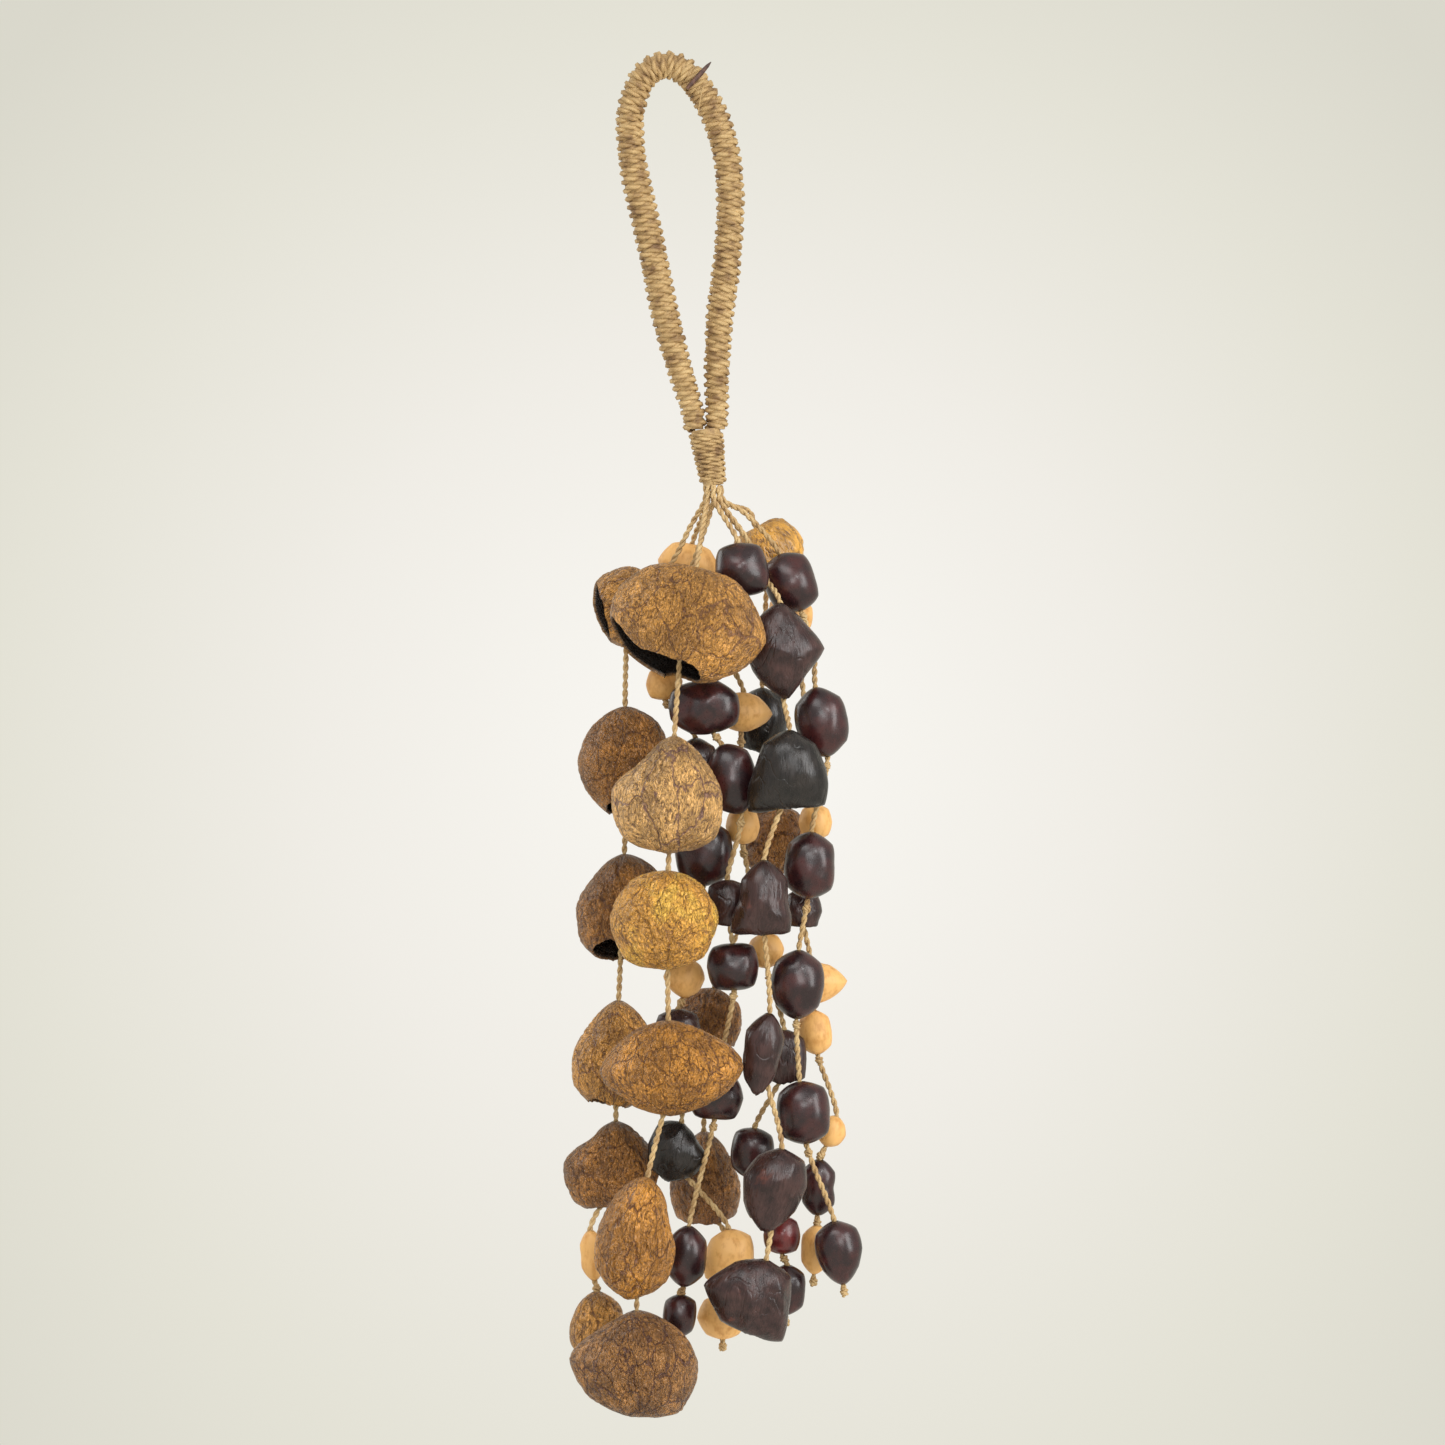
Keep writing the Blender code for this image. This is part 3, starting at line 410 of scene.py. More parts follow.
def nutshellBrown(name, skin):
    shares = {"light": (1.3, 1.3, 1.3), "middle": (1, 1, 1), "shade": (0.72, 0.7, 0.68),
              "valley": (0.28, 0.25, 0.32), "vein": (0.24, 0.19, 0.6)}
    tones = {part: tuple(min(0.95, a * b) for a, b in zip(share, skin["middle"]))
             for part, share in shares.items()}
    material, nodes, links, shader = newMaterial(name)
    flow = shellPlace(nodes, links, (1, 1, skin["stretch"]))
    even = shellPlace(nodes, links, (1, 1, 1))
    broad = windingValleys(nodes, links, flow, skin["wrinkle"], 0.085, 1.3)
    fine = windingValleys(nodes, links, flow, skin["wrinkle"] * 2.3, 0.10, 0.8)
    ridges = mathNode(nodes, links, "MULTIPLY", broad, 0.3)
    ridges = mathNode(nodes, links, "MULTIPLY_ADD", fine, 0.3, ridges)
    folds = storedNode(nodes, "furrow").outputs["Fac"]
    ridges = mathNode(nodes, links, "MULTIPLY_ADD", folds, 0.4, ridges)
    long = shellPlace(nodes, links, (1, 1, 0.55))
    veins = veinLines(nodes, links, long, skin["cell"], skin["vein"])
    grain = noiseNode(nodes, links, even, 2.2, 5)
    tone = rampNode(nodes, links, noiseNode(nodes, links, even, 0.06, 3, 0.5), [
        (0.38, tones["shade"]), (0.5, tones["middle"]), (0.62, tones["light"])])
    depth = rampNode(nodes, links, ridges, [(0.25, (0, 0, 0)), (0.72, (1, 1, 1))])
    tone = mixNode(nodes, links, depth, tones["valley"], tone)
    speck = rampNode(nodes, links, grain, [(0.32, (0.74, 0.68, 0.62)), (0.55, (1, 1, 1))])
    tone = mixNode(nodes, links, 0.6, tone, speck, "MULTIPLY")
    veinShare = mathNode(nodes, links, "MULTIPLY", veins, skin["veinShow"])
    tone = mixNode(nodes, links, veinShare, tone, tones["vein"])
    # Painted shade: the shell's hollow and the inner side of its rim are darkened almost to black.
    paintedHollowShade = storedNode(nodes, "paintedHollowShade").outputs["Fac"]
    tone = mixNode(nodes, links, paintedHollowShade, tone, (0.028, 0.014, 0.007))
    links.new(tone, shader.inputs["Base Color"])
    height = mathNode(nodes, links, "MULTIPLY_ADD", grain, 0.25, ridges)
    height = mathNode(nodes, links, "MULTIPLY_ADD", veins, -0.45, height)
    normal = bumpNode(nodes, links, shader, height, skin["relief"], 0.0014)
    links.new(normal, shader.inputs["Coat Normal"])
    links.new(rangeNode(nodes, links, ridges, 0.55, 0.26), shader.inputs["Roughness"])
    shader.inputs["Specular IOR Level"].default_value = 0.7
    shader.inputs["Coat Weight"].default_value = 0.2
    shader.inputs["Coat Roughness"].default_value = 0.16
    return material


def seedPurple(name, body, blush):
    material, nodes, links, shader = newMaterial(name)
    cloud = noiseNode(nodes, links, shellPlace(nodes, links, (1, 1, 1)), 0.14, 4)
    tone = rampNode(nodes, links, cloud, [(0.4, body), (0.68, blush)])
    scuff = noiseNode(nodes, links, shellPlace(nodes, links, (1, 1, 0.5)), 1.3, 6, 0.0, 0.7)
    marks = rampNode(nodes, links, scuff, [(0.62, (0, 0, 0)), (0.8, (1, 1, 1))])
    tone = mixNode(nodes, links, marks, tone, (0.12, 0.075, 0.07))
    links.new(tone, shader.inputs["Base Color"])
    links.new(rangeNode(nodes, links, scuff, 0.17, 0.42), shader.inputs["Roughness"])
    bumpNode(nodes, links, shader, scuff, 0.12, 0.0004)
    shader.inputs["Coat Weight"].default_value = 0.25
    shader.inputs["Coat Roughness"].default_value = 0.2
    return material


def podBlack(name, dull, worn, blush):
    material, nodes, links, shader = newMaterial(name)
    even = shellPlace(nodes, links, (1, 1, 1))
    streak = noiseNode(nodes, links, shellPlace(nodes, links, (1, 1, 0.14)), 0.9, 5, 0.6)
    crease = windingValleys(nodes, links, shellPlace(nodes, links, (1, 1, 0.6)), 0.07, 0.03, 0.6)
    dust = rampNode(nodes, links, noiseNode(nodes, links, even, 0.16, 4), [
        (0.36, dull), (0.66, worn)])
    spots = rampNode(nodes, links, noiseNode(nodes, links, even, 0.1), [
        (0.66, (0, 0, 0)), (0.78, (1, 1, 1))])
    lines = rampNode(nodes, links, streak, [(0.36, (0.62, 0.58, 0.58)), (0.62, (1, 1, 1))])
    tone = mixNode(nodes, links, spots, dust, blush)
    tone = mixNode(nodes, links, 0.8, tone, lines, "MULTIPLY")
    links.new(tone, shader.inputs["Base Color"])
    links.new(rangeNode(nodes, links, streak, 0.18, 0.38), shader.inputs["Roughness"])
    height = mathNode(nodes, links, "MULTIPLY", crease, 0.4)
    height = mathNode(nodes, links, "MULTIPLY_ADD", streak, 0.4, height)
    bumpNode(nodes, links, shader, height, 0.55, 0.0006)
    return material


def nutPale(name, light, dark):
    material, nodes, links, shader = newMaterial(name)
    cloud = noiseNode(nodes, links, shellPlace(nodes, links, (1, 1, 0.6)), 0.3, 6, 0.0, 0.6)
    tone = rampNode(nodes, links, cloud, [(0.34, dark), (0.52, light)])
    links.new(tone, shader.inputs["Base Color"])
    shader.inputs["Roughness"].default_value = 0.48
    bumpNode(nodes, links, shader, cloud, 0.15, 0.0004)
    return material


def strawTwine(name, light, middle, dark):
    material, nodes, links, shader = newMaterial(name)
    place = nodes.new("ShaderNodeTexCoord").outputs["Object"]
    patches = noiseNode(nodes, links, place, 190)
    tone = rampNode(nodes, links, patches, [(0.3, dark), (0.47, middle), (0.68, light)])
    fibres = noiseNode(nodes, links, place, 2300, 2)
    fine = rampNode(nodes, links, fibres, [(0.3, (0.7, 0.68, 0.62)), (0.6, (1, 1, 1))])
    links.new(mixNode(nodes, links, 0.8, tone, fine, "MULTIPLY"), shader.inputs["Base Color"])
    shader.inputs["Roughness"].default_value = 0.62
    bumpNode(nodes, links, shader, fibres, 0.35, 0.0002)
    return material


def thornBrown():
    material, nodes, links, shader = newMaterial("thornBrown")
    grain = noiseNode(nodes, links, nodes.new("ShaderNodeTexCoord").outputs["Object"], 500, 2)
    tone = rampNode(nodes, links, grain, [(0.35, (0.045, 0.02, 0.016)), (0.7, (0.15, 0.07, 0.045))])
    links.new(tone, shader.inputs["Base Color"])
    shader.inputs["Roughness"].default_value = 0.55
    return material


# Smooth routes, as the frame's cords take them

def smoothPoints(points, step):
    rows = [Vector(p) for p in points]
    rows = [rows[0] * 2 - rows[1]] + rows + [rows[-1] * 2 - rows[-2]]
    fine = []
    for a, b, c, d in zip(rows, rows[1:], rows[2:], rows[3:]):
        marks = [0.0]
        for p, q in ((a, b), (b, c), (c, d)):
            marks.append(marks[-1] + max((q - p).length, 1e-6) ** 0.5)
        t0, t1, t2, t3 = marks
        for i in range(24):
            t = t1 + (t2 - t1) * i / 24
            ab = a * ((t1 - t) / (t1 - t0)) + b * ((t - t0) / (t1 - t0))
            bc = b * ((t2 - t) / (t2 - t1)) + c * ((t - t1) / (t2 - t1))
            cd = c * ((t3 - t) / (t3 - t2)) + d * ((t - t2) / (t3 - t2))
            low = ab * ((t2 - t) / (t2 - t0)) + bc * ((t - t0) / (t2 - t0))
            high = bc * ((t3 - t) / (t3 - t1)) + cd * ((t - t1) / (t3 - t1))
            fine.append(low * ((t2 - t) / (t2 - t1)) + high * ((t - t1) / (t2 - t1)))
    fine.append(rows[-2].copy())
    lengths = [0.0]
    for p, q in zip(fine, fine[1:]):
        lengths.append(lengths[-1] + (q - p).length)
    count = max(2, round(lengths[-1] / step))
    spaced = []
    at = 0
    for i in range(count + 1):
        goal = lengths[-1] * i / count
        while at < len(fine) - 2 and lengths[at + 1] < goal:
            at += 1
        share = (goal - lengths[at]) / max(lengths[at + 1] - lengths[at], 1e-9)
        spaced.append(fine[at].lerp(fine[at + 1], share))
    return spaced


def threadAxis(lean):
    angle = math.radians(lean)
    return Vector((math.sin(angle), 0, math.cos(angle)))


def hungPoint(place):
    return Vector((place[0], place[1], collarSizes["bottom"][2] - place[2]))


def cordRoute(string, fused):
    start = Vector(collarSizes["bottom"]) - Vector((0, 0, collarSizes["edge"]))
    if string["exit"] is not None:
        turn = math.radians(string["exit"])
        ring = collarSizes["ring"]
        start += Vector((ring[0] * math.cos(turn), ring[1] * math.sin(turn), 0))
    route = [start, start - Vector((0, 0, cordSizes["start"]))]
    for name, middle, lean, reach, _, mouth in string["shells"]:
        up = threadAxis(lean)
        centre = hungPoint(middle)
        under = up * (reach[4] - cordSizes["recess"])
        if mouth:
            under = Vector((0, 0, reach[4] * cordSizes["pocketShare"]))
        route += [hungPoint(point) for point in wayPoints.get(name, [])]
        route += [centre + up * (reach[0] - cordSizes["recess"]), centre, centre - under]
    if mouth and not fused:
        return route[:-2] + [centre + up * (reach[0] - cordSizes["pocketDrop"])]
    route.append(route[-1] + (route[-1] - route[-2]).normalized() * cordSizes["tail"])
    return route


# Twine: one Geometry Nodes tree winds a line round a path and lays two plies along it

def twineTree():
    tree = bpy.data.node_groups.new("twine along path", "GeometryNodeTree")
    face = tree.interface
    face.new_socket(name="Geometry", in_out="INPUT", socket_type="NodeSocketGeometry")
    for name in ("Wrap Radius", "Wrap Turns", "Ply Offset", "Ply Turns", "Ply Thickness", "Core Radius"):
        face.new_socket(name=name, in_out="INPUT", socket_type="NodeSocketFloat")
    for name in ("Wrap Points", "Ply Points", "Ply Sides"):
        face.new_socket(name=name, in_out="INPUT", socket_type="NodeSocketInt")
    face.new_socket(name="Material", in_out="INPUT", socket_type="NodeSocketMaterial")
    face.new_socket(name="Geometry", in_out="OUTPUT", socket_type="NodeSocketGeometry")
    nodes, links = tree.nodes, tree.links
    given = nodes.new("NodeGroupInput").outputs
    result = nodes.new("NodeGroupOutput")

    def coil(curve, points, radius, turns, phase):
        sample = nodes.new("GeometryNodeResampleCurve")
        links.new(curve, sample.inputs["Curve"])
        links.new(points, sample.inputs["Count"])
        along = nodes.new("GeometryNodeSplineParameter").outputs["Factor"]
        turned = mathNode(nodes, links, "MULTIPLY", turns, math.tau)
        spin = nodes.new("ShaderNodeVectorRotate")
        spin.rotation_type = "AXIS_ANGLE"
        links.new(nodes.new("GeometryNodeInputNormal").outputs[0], spin.inputs["Vector"])
        links.new(nodes.new("GeometryNodeInputTangent").outputs[0], spin.inputs["Axis"])
        links.new(mathNode(nodes, links, "MULTIPLY_ADD", along, turned, phase), spin.inputs["Angle"])
        reach = nodes.new("ShaderNodeVectorMath")
        reach.operation = "SCALE"
        links.new(spin.outputs[0], reach.inputs[0])
        links.new(radius, reach.inputs["Scale"])
        move = nodes.new("GeometryNodeSetPosition")
        links.new(sample.outputs[0], move.inputs["Geometry"])
        links.new(reach.outputs[0], move.inputs["Offset"])
        return move.outputs[0]

    def tube(curve, radius, sides):
        ring = nodes.new("GeometryNodeCurvePrimitiveCircle")
        links.new(radius, ring.inputs["Radius"])
        feed(links, ring.inputs["Resolution"], sides)
        solid = nodes.new("GeometryNodeCurveToMesh")
        solid.inputs["Fill Caps"].default_value = True
        links.new(curve, solid.inputs["Curve"])
        links.new(ring.outputs[0], solid.inputs["Profile Curve"])
        links.new(nodes.new("GeometryNodeInputRadius").outputs[0], solid.inputs["Scale"])
        return solid.outputs[0]

    swell = nodes.new("GeometryNodeInputRadius").outputs[0]
    wide = mathNode(nodes, links, "MULTIPLY", given["Wrap Radius"], swell)
    wound = coil(given["Geometry"], given["Wrap Points"], wide, given["Wrap Turns"], 0.0)
    even = nodes.new("GeometryNodeSetCurveRadius")
    even.inputs["Radius"].default_value = 1.0
    links.new(wound, even.inputs["Curve"])
    join = nodes.new("GeometryNodeJoinGeometry")
    for phase in (0.0, math.pi):
        ply = coil(even.outputs[0], given["Ply Points"], given["Ply Offset"], given["Ply Turns"], phase)
        links.new(tube(ply, given["Ply Thickness"], given["Ply Sides"]), join.inputs[0])
    core = tube(given["Geometry"], given["Core Radius"], 12)
    hasCore = nodes.new("FunctionNodeCompare")
    hasCore.operation = "GREATER_THAN"
    links.new(given["Core Radius"], hasCore.inputs[0])
    switch = nodes.new("GeometryNodeSwitch")
    switch.input_type = "GEOMETRY"
    links.new(hasCore.outputs[0], switch.inputs["Switch"])
    links.new(core, switch.inputs["True"])
    links.new(switch.outputs[0], join.inputs[0])
    smooth = nodes.new("GeometryNodeSetShadeSmooth")
    links.new(join.outputs[0], smooth.inputs["Geometry"])
    real = nodes.new("GeometryNodeRealizeInstances")
    links.new(smooth.outputs[0], real.inputs["Geometry"])
    paint = nodes.new("GeometryNodeSetMaterial")
    links.new(real.outputs[0], paint.inputs["Geometry"])
    links.new(given["Material"], paint.inputs["Material"])
    links.new(paint.outputs[0], result.inputs["Geometry"])
    return tree


def makeTwine(name, points, radii, material, ply, wound=None, core=0.0):
    wound = wound or {"radius": 0.0, "turns": 0.0, "points": len(points)}
    sizes = {"Wrap Radius": wound["radius"] * mm, "Wrap Turns": float(wound["turns"]),
             "Wrap Points": wound["points"], "Ply Offset": ply["offset"] * mm,
             "Ply Turns": ply["turns"], "Ply Points": ply["points"],
             "Ply Thickness": ply["thickness"] * mm, "Ply Sides": ply["sides"],
             "Core Radius": core * mm}
    curve = bpy.data.curves.new(name, "CURVE")
    curve.dimensions = "3D"
    spline = curve.splines.new("POLY")
    spline.points.add(len(points) - 1)
    for target, point, radius in zip(spline.points, points, radii):
        target.co = (*(Vector(point) * mm), 1)
        target.radius = radius
    guide = bpy.data.objects.new(name + "Guide", curve)
    bpy.context.scene.collection.objects.link(guide)
    wind = guide.modifiers.new("twine", "NODES")
    wind.node_group = twine
    sockets = {item.name: item.identifier for item in twine.interface.items_tree
               if item.in_out == "INPUT"}
    for label, value in sizes.items():
        wind[sockets[label]] = value
    wind[sockets["Material"]] = material
    depsgraph = bpy.context.evaluated_depsgraph_get()
    mesh = bpy.data.meshes.new_from_object(guide.evaluated_get(depsgraph))
    bpy.data.objects.remove(guide)
    bpy.data.curves.remove(curve)
    mesh.name = name
    piece = bpy.data.objects.new(name, mesh)
    bpy.context.scene.collection.objects.link(piece)
    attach(piece, "root")
    return piece


# Shells

def outline(reach, angle, edged):
    reach = np.asarray(reach, float)
    step = math.tau / 8
    place = (angle / step) % 8
    low = np.floor(place).astype(int)
    t = place - low
    a, b, c, d = (reach[(low + i) % 8] for i in (-1, 0, 1, 2))
    soft = b + 0.5 * t * (c - a + t * (2 * a - 5 * b + 4 * c - d + t * (3 * (b - c) + d - a)))
    straight = b * c * math.sin(step) / (b * np.sin(step * t) + c * np.sin(step * (1 - t)))
    return soft + (straight - soft) * edged


def shellRadius(reach, depth, polar, around, edged):
    right, left = (outline(reach, angle, edged) for angle in (polar, -polar))
    side = np.where(np.cos(around) >= 0, right, left)
    height = np.where(polar < math.pi / 2, reach[0], reach[4])
    flat = 1 / np.sqrt((np.sin(polar) / depth) ** 2 + (np.cos(polar) / height) ** 2)
    return 1 / np.sqrt((np.cos(around) / side) ** 2 + (np.sin(around) / flat) ** 2)


def noiseAt(points, scale, seed):
    shift = Vector((seed * 7.3, seed * 3.1, seed * 5.7))
    return np.array([noise.noise(Vector(p) * scale + shift) for p in points])


# How far down a shell its mouth's edge is, in degrees, right, back right, back and so on round
openMouths = {
    "nutshell_left_front_1": (148, 160, 172, 174, 106, 132, 143, 138),
    "nutshell_left_back_1": (150, 154, 152, 140, 104, 116, 134, 146),
    "nutshell_left_back_2": (166, 166, 166, 162, 160, 150, 160, 164),
    "nutshell_left_back_3": (160, 162, 166, 164, 156, 142, 142, 152),
    "nutshell_left_back_4": (162, 162, 164, 160, 156, 154, 162, 162),
}

# Reaches that follow the picture closer than the plain form does
closerReach = {
    "nutshell_left_front_1": (21.3, 26.3, 33, 27, 22.6, 26.3, 27.3, 24),
    "pod_right_1": (18.6, 13.4, 15.8, 12.8, 20, 14.2, 14.4, 15),
    "pod_right_2": (15.4, 13.6, 14, 18.8, 15.6, 22.3, 13.6, 14.6),
}


def skinLumps(kind, spot, seed):
    furrow = np.ones(len(spot))
    if kind == "nutshell":
        bend = np.stack([noiseAt(spot, 0.1, seed + k) for k in (5, 6, 7)], 1) * 5
        broad = np.abs(noiseAt((spot + bend) * (1, 1, 0.55), 0.2, seed + 3))
        small = np.abs(noiseAt((spot + bend) * (1, 1, 0.7), 0.42, seed + 4))
        furrow = 0.6 * np.minimum(1, broad * 5) + 0.4 * np.minimum(1, small * 4)
        return 0.7 * noiseAt(spot, 0.08, seed) + 0.75 * (furrow - 0.75), furrow
    if kind == "pod":
        facets = 0.35 - 1.7 * np.abs(noiseAt(spot * (1, 1, 0.7), 0.06, seed))
        return facets + 0.08 * noiseAt(spot * (1, 1, 0.1), 0.5, seed + 3), furrow
    if kind == "seed":
        return 0.55 * noiseAt(spot, 0.11, seed), furrow
    return 0.3 * noiseAt(spot, 0.15, seed), furrow


def shellMesh(name, kind, row, seed, detail):
    form = shellForms[kind]
    wall, hole = form["wall"], form["hole"]
    middle, lean, reach, depth, mouth = row
    depth *= skinDepth
    reach = closerReach.get(name, reach)
    sides, outer, inner = detail
    around = np.linspace(0, math.tau, sides, endpoint=False)
    top = math.asin(hole / reach[0])
    hollow = wall > 0
    if hollow:
        cut, facing, swing = mouth
        circle = np.stack([np.cos(around), np.sin(around), np.zeros(sides)], 1)
        ragged = noiseAt(circle * 2.6, 1.0, seed) + 0.5 * noiseAt(circle * 8, 1.0, seed + 9)
        edge = cut - swing * np.cos(around - math.radians(facing))
        if name in openMouths:
            edge = outline(openMouths[name], around, 0.0)
        last = np.radians(edge + ragged * 3)
    else:
        last = np.full(sides, math.pi - math.asin(hole / reach[4]))
    rings, maps, paintedHollowShade, furrows = [], [], [], []

    def ring(share, inset, dark):
        polar = top + (last - top) * share
        radius = shellRadius(reach, depth, polar, around, form["edged"]) - inset
        wide = np.sin(polar)
        ray = np.stack([wide * np.cos(around), wide * np.sin(around), np.cos(polar)], 1)
        base = ray * radius[:, None]
        width = max(reach[2], reach[6])
        bow = width * np.sqrt(wide)
        spot = np.stack([np.cos(around) * bow, np.sin(around) * bow, polar * width], 1)
        rings.append(base)
        maps.append(spot)
        paintedHollowShade.append(np.full(sides, dark))
        return ray, spot

    for i in range(outer + 1):
        share = i / outer
        ray, spot = ring(share, 0.0, 0.0)
        fade = min(1.0, share * 6) * min(1.0, (1 - share) * (10 if hollow else 6))
        lumps, furrow = skinLumps(kind, spot, seed)
        rings[-1] = rings[-1] + ray * (lumps * fade - form["sunk"])[:, None]
        furrows.append(furrow)
    furrows += [np.ones(sides)] * (4 + inner if hollow else 0)
    if hollow:
        # Painted shade inside the hollow: the rim rings darken step by step towards the inside, and the
        # inner rings are fully darkened.
        rim = ((0.35, 1.004, 0.3), (wall * 0.5, 1.008, 0.6), (wall - 0.35, 1.004, 0.9))
        for inset, share, dark in rim:
            ring(share, inset + 0.2, dark)
        for i in range(inner + 1):
            ring(1 - i / inner, wall, 1.0)
        rings[-1] = rings[0] - np.array([0, 0, wall])
    points = np.concatenate(rings)
    turn = math.radians(lean)
    c, s = math.cos(turn), math.sin(turn)
    placed = np.stack([points[:, 0] * c + points[:, 2] * s, points[:, 1],
                       -points[:, 0] * s + points[:, 2] * c], 1) + np.array(hungPoint(middle))
    count = len(rings)
    low = np.arange(count * sides).reshape(count, sides)
    high = np.roll(low, -1, axis=0)
    faces = np.stack([low, high, np.roll(high, -1, axis=1), np.roll(low, -1, axis=1)], -1)
    mesh = bpy.data.meshes.new(name + "_skin")
    mesh.from_pydata((placed * mm).tolist(), [], faces.reshape(-1, 4).tolist())
    maps = [spot + seed * 11.0 for spot in maps]
    for label, layer, field, rows in (("shellMap", "FLOAT_VECTOR", "vector", maps),
                                      ("paintedHollowShade", "FLOAT", "value", paintedHollowShade),
                                      ("furrow", "FLOAT", "value", furrows)):
        stored = mesh.attributes.new(label, layer, "POINT")
        stored.data.foreach_set(field, np.concatenate(rows).astype(np.float32).ravel())
    mesh.shade_smooth()
    mesh.update()
    return mesh


def makeShell(name, kind, row, seed, detail):
    mesh = shellMesh(name, kind, row, seed, detail)
    mesh.materials.append(finishOf(name, kind))
    piece = bpy.data.objects.new(name + "_skin", mesh)
    bpy.context.scene.collection.objects.link(piece)
    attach(piece, "root")
    return piece


# The shells whose finish isn't the plain one of their kind
otherFinishes = {
    "Bronze": ["nutshell_left_front_1", "nutshell_left_back_1", "nutshell_left_back_4",
               "nutshell_left_back_6", "nutshell_back_5"],
    "Honey": ["nutshell_back_1"],
    "Amber": ["nutshell_left_front_4", "nutshell_left_front_5"],
    "Umber": ["nutshell_left_back_2", "nutshell_left_back_3", "nutshell_left_back_5",
              "nutshell_back_2", "nutshell_back_3", "nutshell_back_4"],
    "Tan": ["nutshell_left_front_2"],
    "Veined": ["nutshell_left_front_6"],
    "Red": ["cord_back_centre_seed_7"],
    "Black": ["pod_right_2", "pod_back", "cord_inner_left_pod_6"],
}


def finishOf(shellName, kind):
    for finish, names in otherFinishes.items():
        if shellName in names:
            return finishes[finish]
    return finishes[shellForms[kind]["finish"]]


def knotPlaces(string, points, fused):
    places = []
    for label, middle, lean, reach, _, mouth in string["shells"]:
        if mouth:
            continue
        under = hungPoint(middle) - threadAxis(lean) * (reach[4] + knotSizes["drop"])
        nearest = min(range(len(points)), key=lambda i: (points[i] - under).length)
        if 1 < nearest < len(points) - 1:
            places.append(nearest)
    if not mouth or fused:
        places.append(len(points) - 2)
    return sorted(set(places))


def tieKnot(cord, points, at, turn):
    way = (points[at + 1] - points[at - 1]).normalized()
    middle = points[at] + (points[at + 1] - points[at]) * 0.4
    line = [middle + way * (knotSizes["length"] * (i / 8 - 0.5)) for i in range(9)]
    swell = [math.sin(math.pi * (0.12 + 0.76 * i / 8)) for i in range(9)]
    wound = math.tau * knotSizes["radius"] * knotSizes["turns"]
    joinMesh(cord, makeTwine(
        cord.name + "Knot", line, swell, finishes["Cord"],
        {"offset": 0.42, "turns": wound / knotSizes["pitch"], "points": 60, "thickness": 0.5,
         "sides": 6},
        {"radius": knotSizes["radius"], "turns": knotSizes["turns"] * turn, "points": 40}))


def makeStrings():
    look = {"offset": 0.52, "thickness": 0.62, "pitch": 6.5, "step": 0.8, "tuckedIn": 0.9}
    seed = 1
    for name, string in list(strings.items()) + list(innerStrings.items()):
        fused = name in innerStrings
        for number, (label, *row) in enumerate(string["shells"], 1):
            kind = label.split("_")[0]
            detail = shellForms[kind]["detail"]
            if label.startswith("nutshell_left_front"):
                detail = nutshellDetail["front"]
            elif label.startswith("nutshell_back"):
                detail = nutshellDetail["back"]
            shellName = f"{name}_{kind}_{number}" if fused else label
            shell = makeShell(shellName, kind, row, seed, detail)
            if not fused:
                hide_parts(label)
            seed += 1
        points = smoothPoints(cordRoute(string, fused), 2.0)
        if fused or not string["shells"][-1][5]:
            points = points[:-1]
        length = sum((q - p).length for p, q in zip(points, points[1:]))
        drawn = [points[0] + Vector((0, 0, look["tuckedIn"]))] + points
        cord = makeTwine(name + "_twine", drawn, [1.0] * len(drawn), finishes["Cord"], {
            "offset": look["offset"], "turns": length / look["pitch"],
            "points": int(length / look["step"]), "thickness": look["thickness"], "sides": 6})
        for number, at in enumerate(knotPlaces(string, points, fused)):
            tieKnot(cord, points, at, 1 if number % 2 else -1)
        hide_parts(name)


def joinMesh(piece, other):
    both = bmesh.new()
    both.from_mesh(piece.data)
    both.from_mesh(other.data)
    both.to_mesh(piece.data)
    both.free()
    bpy.data.objects.remove(other)


def makeGrip():
    wrap = {"radius": 5.75, "topRadius": 5.65, "endRadius": 4.3, "turns": 92, "turnPoints": 26,
            "twine": 0.9, "offset": 0.66, "pitch": 9.0, "step": 0.7, "uneven": 0.06,
            "endGap": 0.5}
    points = smoothPoints([(x, 0, z * loopLength / 100) for x, z in gripRoute], 1.0)
    points[0].z = points[-1].z = -loopLength + wrap["endGap"]
    last = len(points) - 1
    radii = []
    for i in range(last + 1):
        lumps = noise.noise(Vector((i * 0.16, 3.7, 0)))
        end = min(i, last - i) / last
        arm = wrap["endRadius"] + (wrap["radius"] - wrap["endRadius"]) * min(1.0, end * 7)
        high = max(0.0, 1 - abs(i / last - 0.5) * 7)
        full = arm + (wrap["topRadius"] - wrap["radius"]) * high
        radii.append(full / wrap["radius"] * (1 + wrap["uneven"] * lumps))
    mid = wrap["radius"] - wrap["twine"] - wrap["offset"]
    twineLength = wrap["turns"] * math.tau * mid
    grip = makeTwine(
        "grip_wrap", points, radii, finishes["Grip"],
        {"offset": wrap["offset"], "turns": twineLength / wrap["pitch"],
         "points": int(twineLength / wrap["step"]), "thickness": wrap["twine"], "sides": 5},
        {"radius": mid, "turns": wrap["turns"], "points": wrap["turns"] * wrap["turnPoints"]}, mid)
    loose = smoothPoints([(14.9, -6.0, -2.6), (13.9, -6.0, -6.5), (13.2, -5.8, -10.5),
                          (12.9, -4.9, -13.4)], 0.6)
    joinMesh(grip, makeTwine(
        "loose_fibre", loose, [1.0] * len(loose), finishes["Cord"],
        {"offset": 0.08, "turns": 2.0, "points": 30, "thickness": 0.16, "sides": 5},
        {"radius": 0.0, "turns": 0.0, "points": 24}))
    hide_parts("handle_loop")


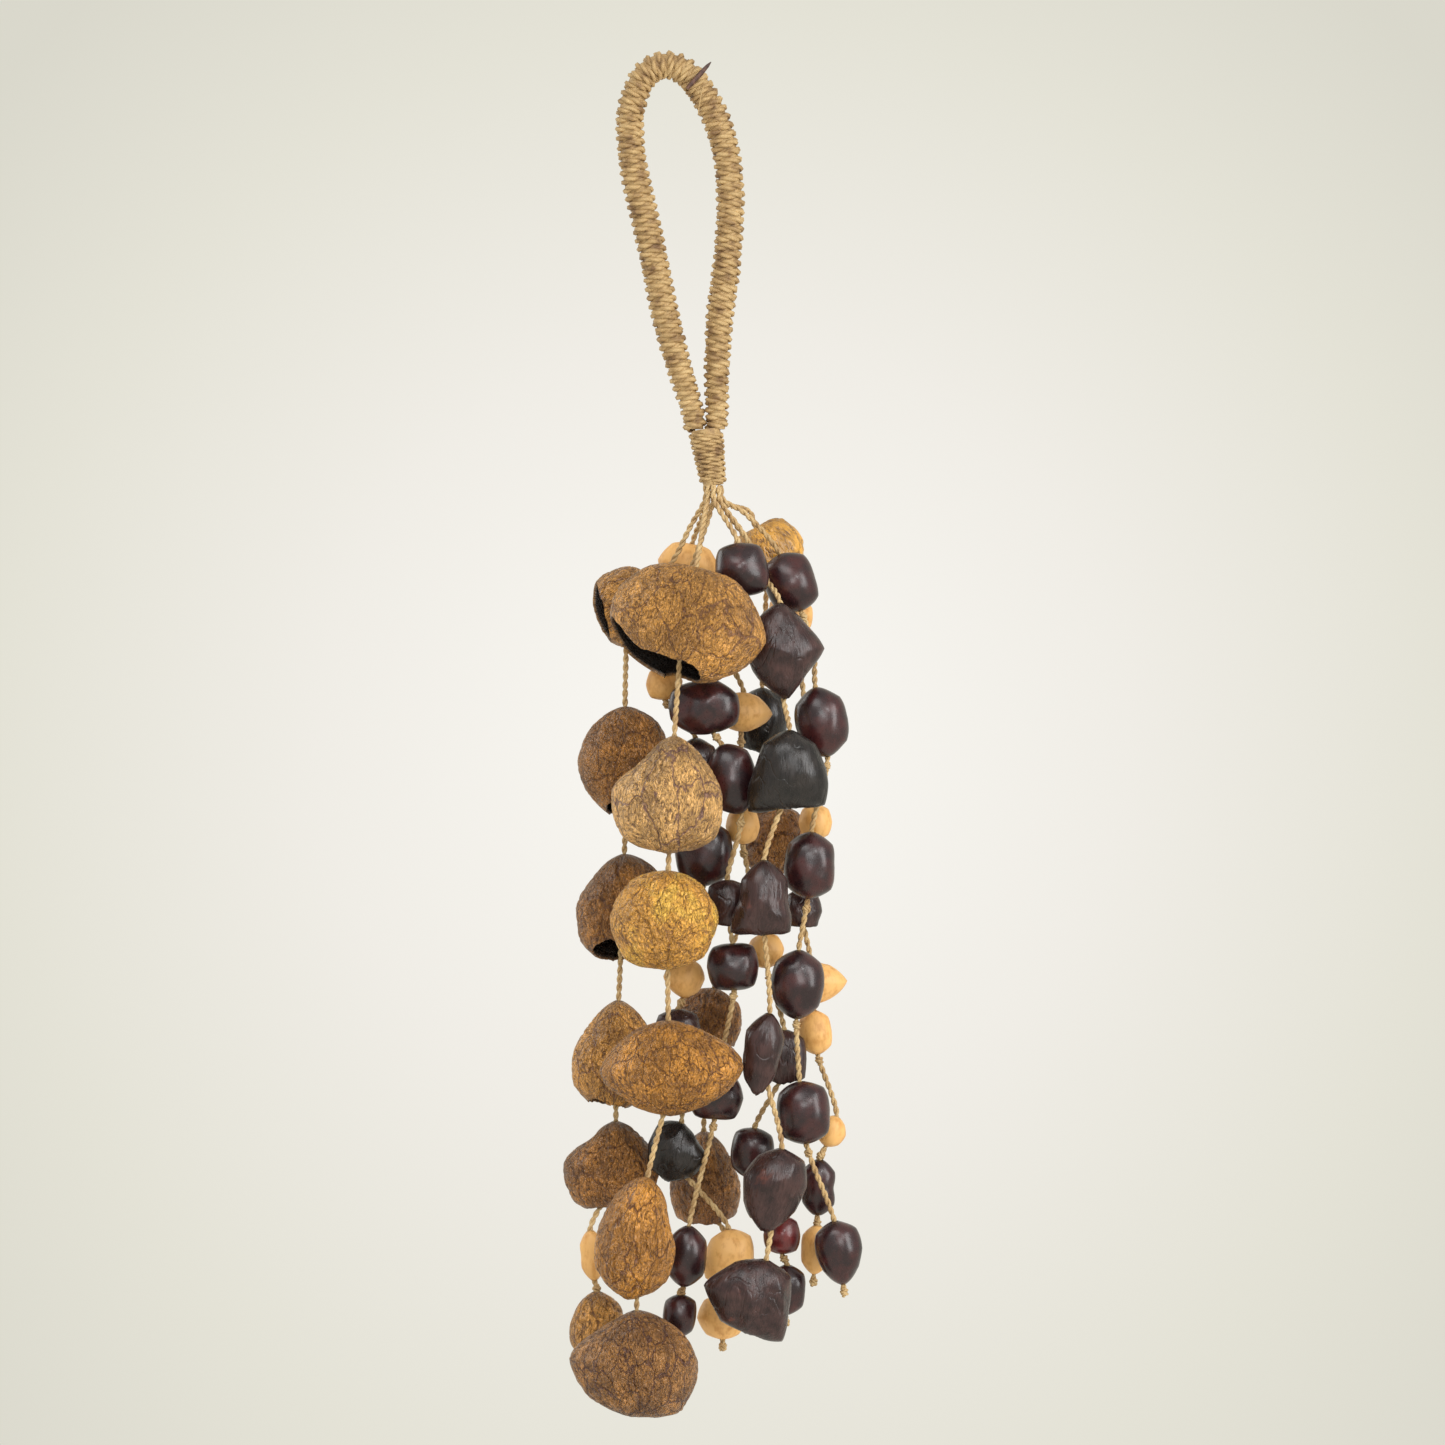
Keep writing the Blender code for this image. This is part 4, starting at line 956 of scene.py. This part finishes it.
def makeCollar():
    bind = {"turns": 9, "turnPoints": 28, "twine": 0.66, "offset": 0.54, "pitch": 8.0, "step": 0.62,
            "start": 0.055, "share": 0.89, "proud": 0.15, "meanWidth": 0.86}
    top, bottom = Vector(collarSizes["top"]), Vector(collarSizes["bottom"])
    points = [top.lerp(bottom, bind["start"] + bind["share"] * i / 20) for i in range(21)]
    narrow = collarSizes["bottomWidth"] / collarSizes["topWidth"] - 1.0
    radii = [1.0 + narrow * i / 20 for i in range(21)]
    mid = collarSizes["topWidth"] / 2 + bind["proud"] - bind["twine"] - bind["offset"]
    twineLength = bind["turns"] * math.tau * mid * bind["meanWidth"]
    collar = makeTwine(
        "collar_wrap", points, radii, finishes["Grip"],
        {"offset": bind["offset"], "turns": twineLength / bind["pitch"],
         "points": int(twineLength / bind["step"]), "thickness": bind["twine"], "sides": 6},
        {"radius": mid, "turns": bind["turns"], "points": bind["turns"] * bind["turnPoints"]},
        mid - 0.1)
    ends = [top.lerp(bottom, share) for share in (-0.015, 0.1, 0.5, 0.9, 1.0)]
    joinMesh(collar, makeTwine(
        "collar_core", ends, [1.0, 1.05, 0.9, 0.75, 0.7], finishes["Grip"],
        {"offset": 0.3, "turns": 1.0, "points": 20, "thickness": 0.4, "sides": 5}, core=mid - 0.3))
    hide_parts("collar_binding")


makeCamera()
makeStudio()
makeBackdrop()
print("stage: camera and studio")

nutshellSkins = {
    "Gold": {"middle": (0.88, 0.43, 0.065), "wrinkle": 0.26, "stretch": 0.62, "cell": 15,
             "vein": 0.03, "veinShow": 0.5, "relief": 1.0},
    "Bronze": {"middle": (0.60, 0.285, 0.056), "wrinkle": 0.32, "stretch": 0.42, "cell": 17,
               "vein": 0.035, "veinShow": 0.7, "relief": 1.0},
    "Honey": {"middle": (0.60, 0.30, 0.04), "wrinkle": 0.2, "stretch": 0.25, "cell": 14,
              "vein": 0.025, "veinShow": 0.4, "relief": 0.3},
    "Amber": {"middle": (0.58, 0.25, 0.034), "wrinkle": 0.3, "stretch": 0.45, "cell": 11,
              "vein": 0.035, "veinShow": 0.8, "relief": 1.0},
    "Umber": {"middle": (0.37, 0.155, 0.026), "wrinkle": 0.3, "stretch": 0.5, "cell": 19,
              "vein": 0.03, "veinShow": 0.6, "relief": 1.0},
    "Tan": {"middle": (0.72, 0.41, 0.135), "wrinkle": 0.32, "stretch": 0.38, "cell": 18,
            "vein": 0.035, "veinShow": 0.8, "relief": 1.0},
    "Veined": {"middle": (0.38, 0.17, 0.04), "wrinkle": 0.3, "stretch": 0.5, "cell": 10,
               "vein": 0.05, "veinShow": 0.85, "relief": 1.0},
}
finishes = {name: nutshellBrown("nutshell" + name, skin) for name, skin in nutshellSkins.items()}
finishes |= {
    "Plum": seedPurple("seedPlum", (0.018, 0.006, 0.007), (0.058, 0.013, 0.012)),
    "Red": seedPurple("seedRed", (0.075, 0.012, 0.012), (0.17, 0.022, 0.02)),
    "Brown": podBlack("podBrown", (0.026, 0.011, 0.010), (0.066, 0.030, 0.026), (0.17, 0.05, 0.03)),
    "Black": podBlack("podBlack", (0.010, 0.008, 0.007), (0.026, 0.020, 0.017), (0.045, 0.03, 0.022)),
    "Pale": nutPale("nutTan", (0.82, 0.46, 0.15), (0.64, 0.31, 0.08)),
    "Cord": strawTwine("cordStraw", (0.68, 0.49, 0.24), (0.53, 0.35, 0.155), (0.35, 0.205, 0.085)),
    "Grip": strawTwine("gripStraw", (0.59, 0.41, 0.19), (0.44, 0.285, 0.12), (0.22, 0.12, 0.05)),
}
twine = twineTree()
makeStrings()
print("stage: strings of shells")
makeGrip()
makeCollar()
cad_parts["wrap_peg"].data.materials.clear()
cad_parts["wrap_peg"].data.materials.append(thornBrown())
print("stage: grip, collar and thorn")
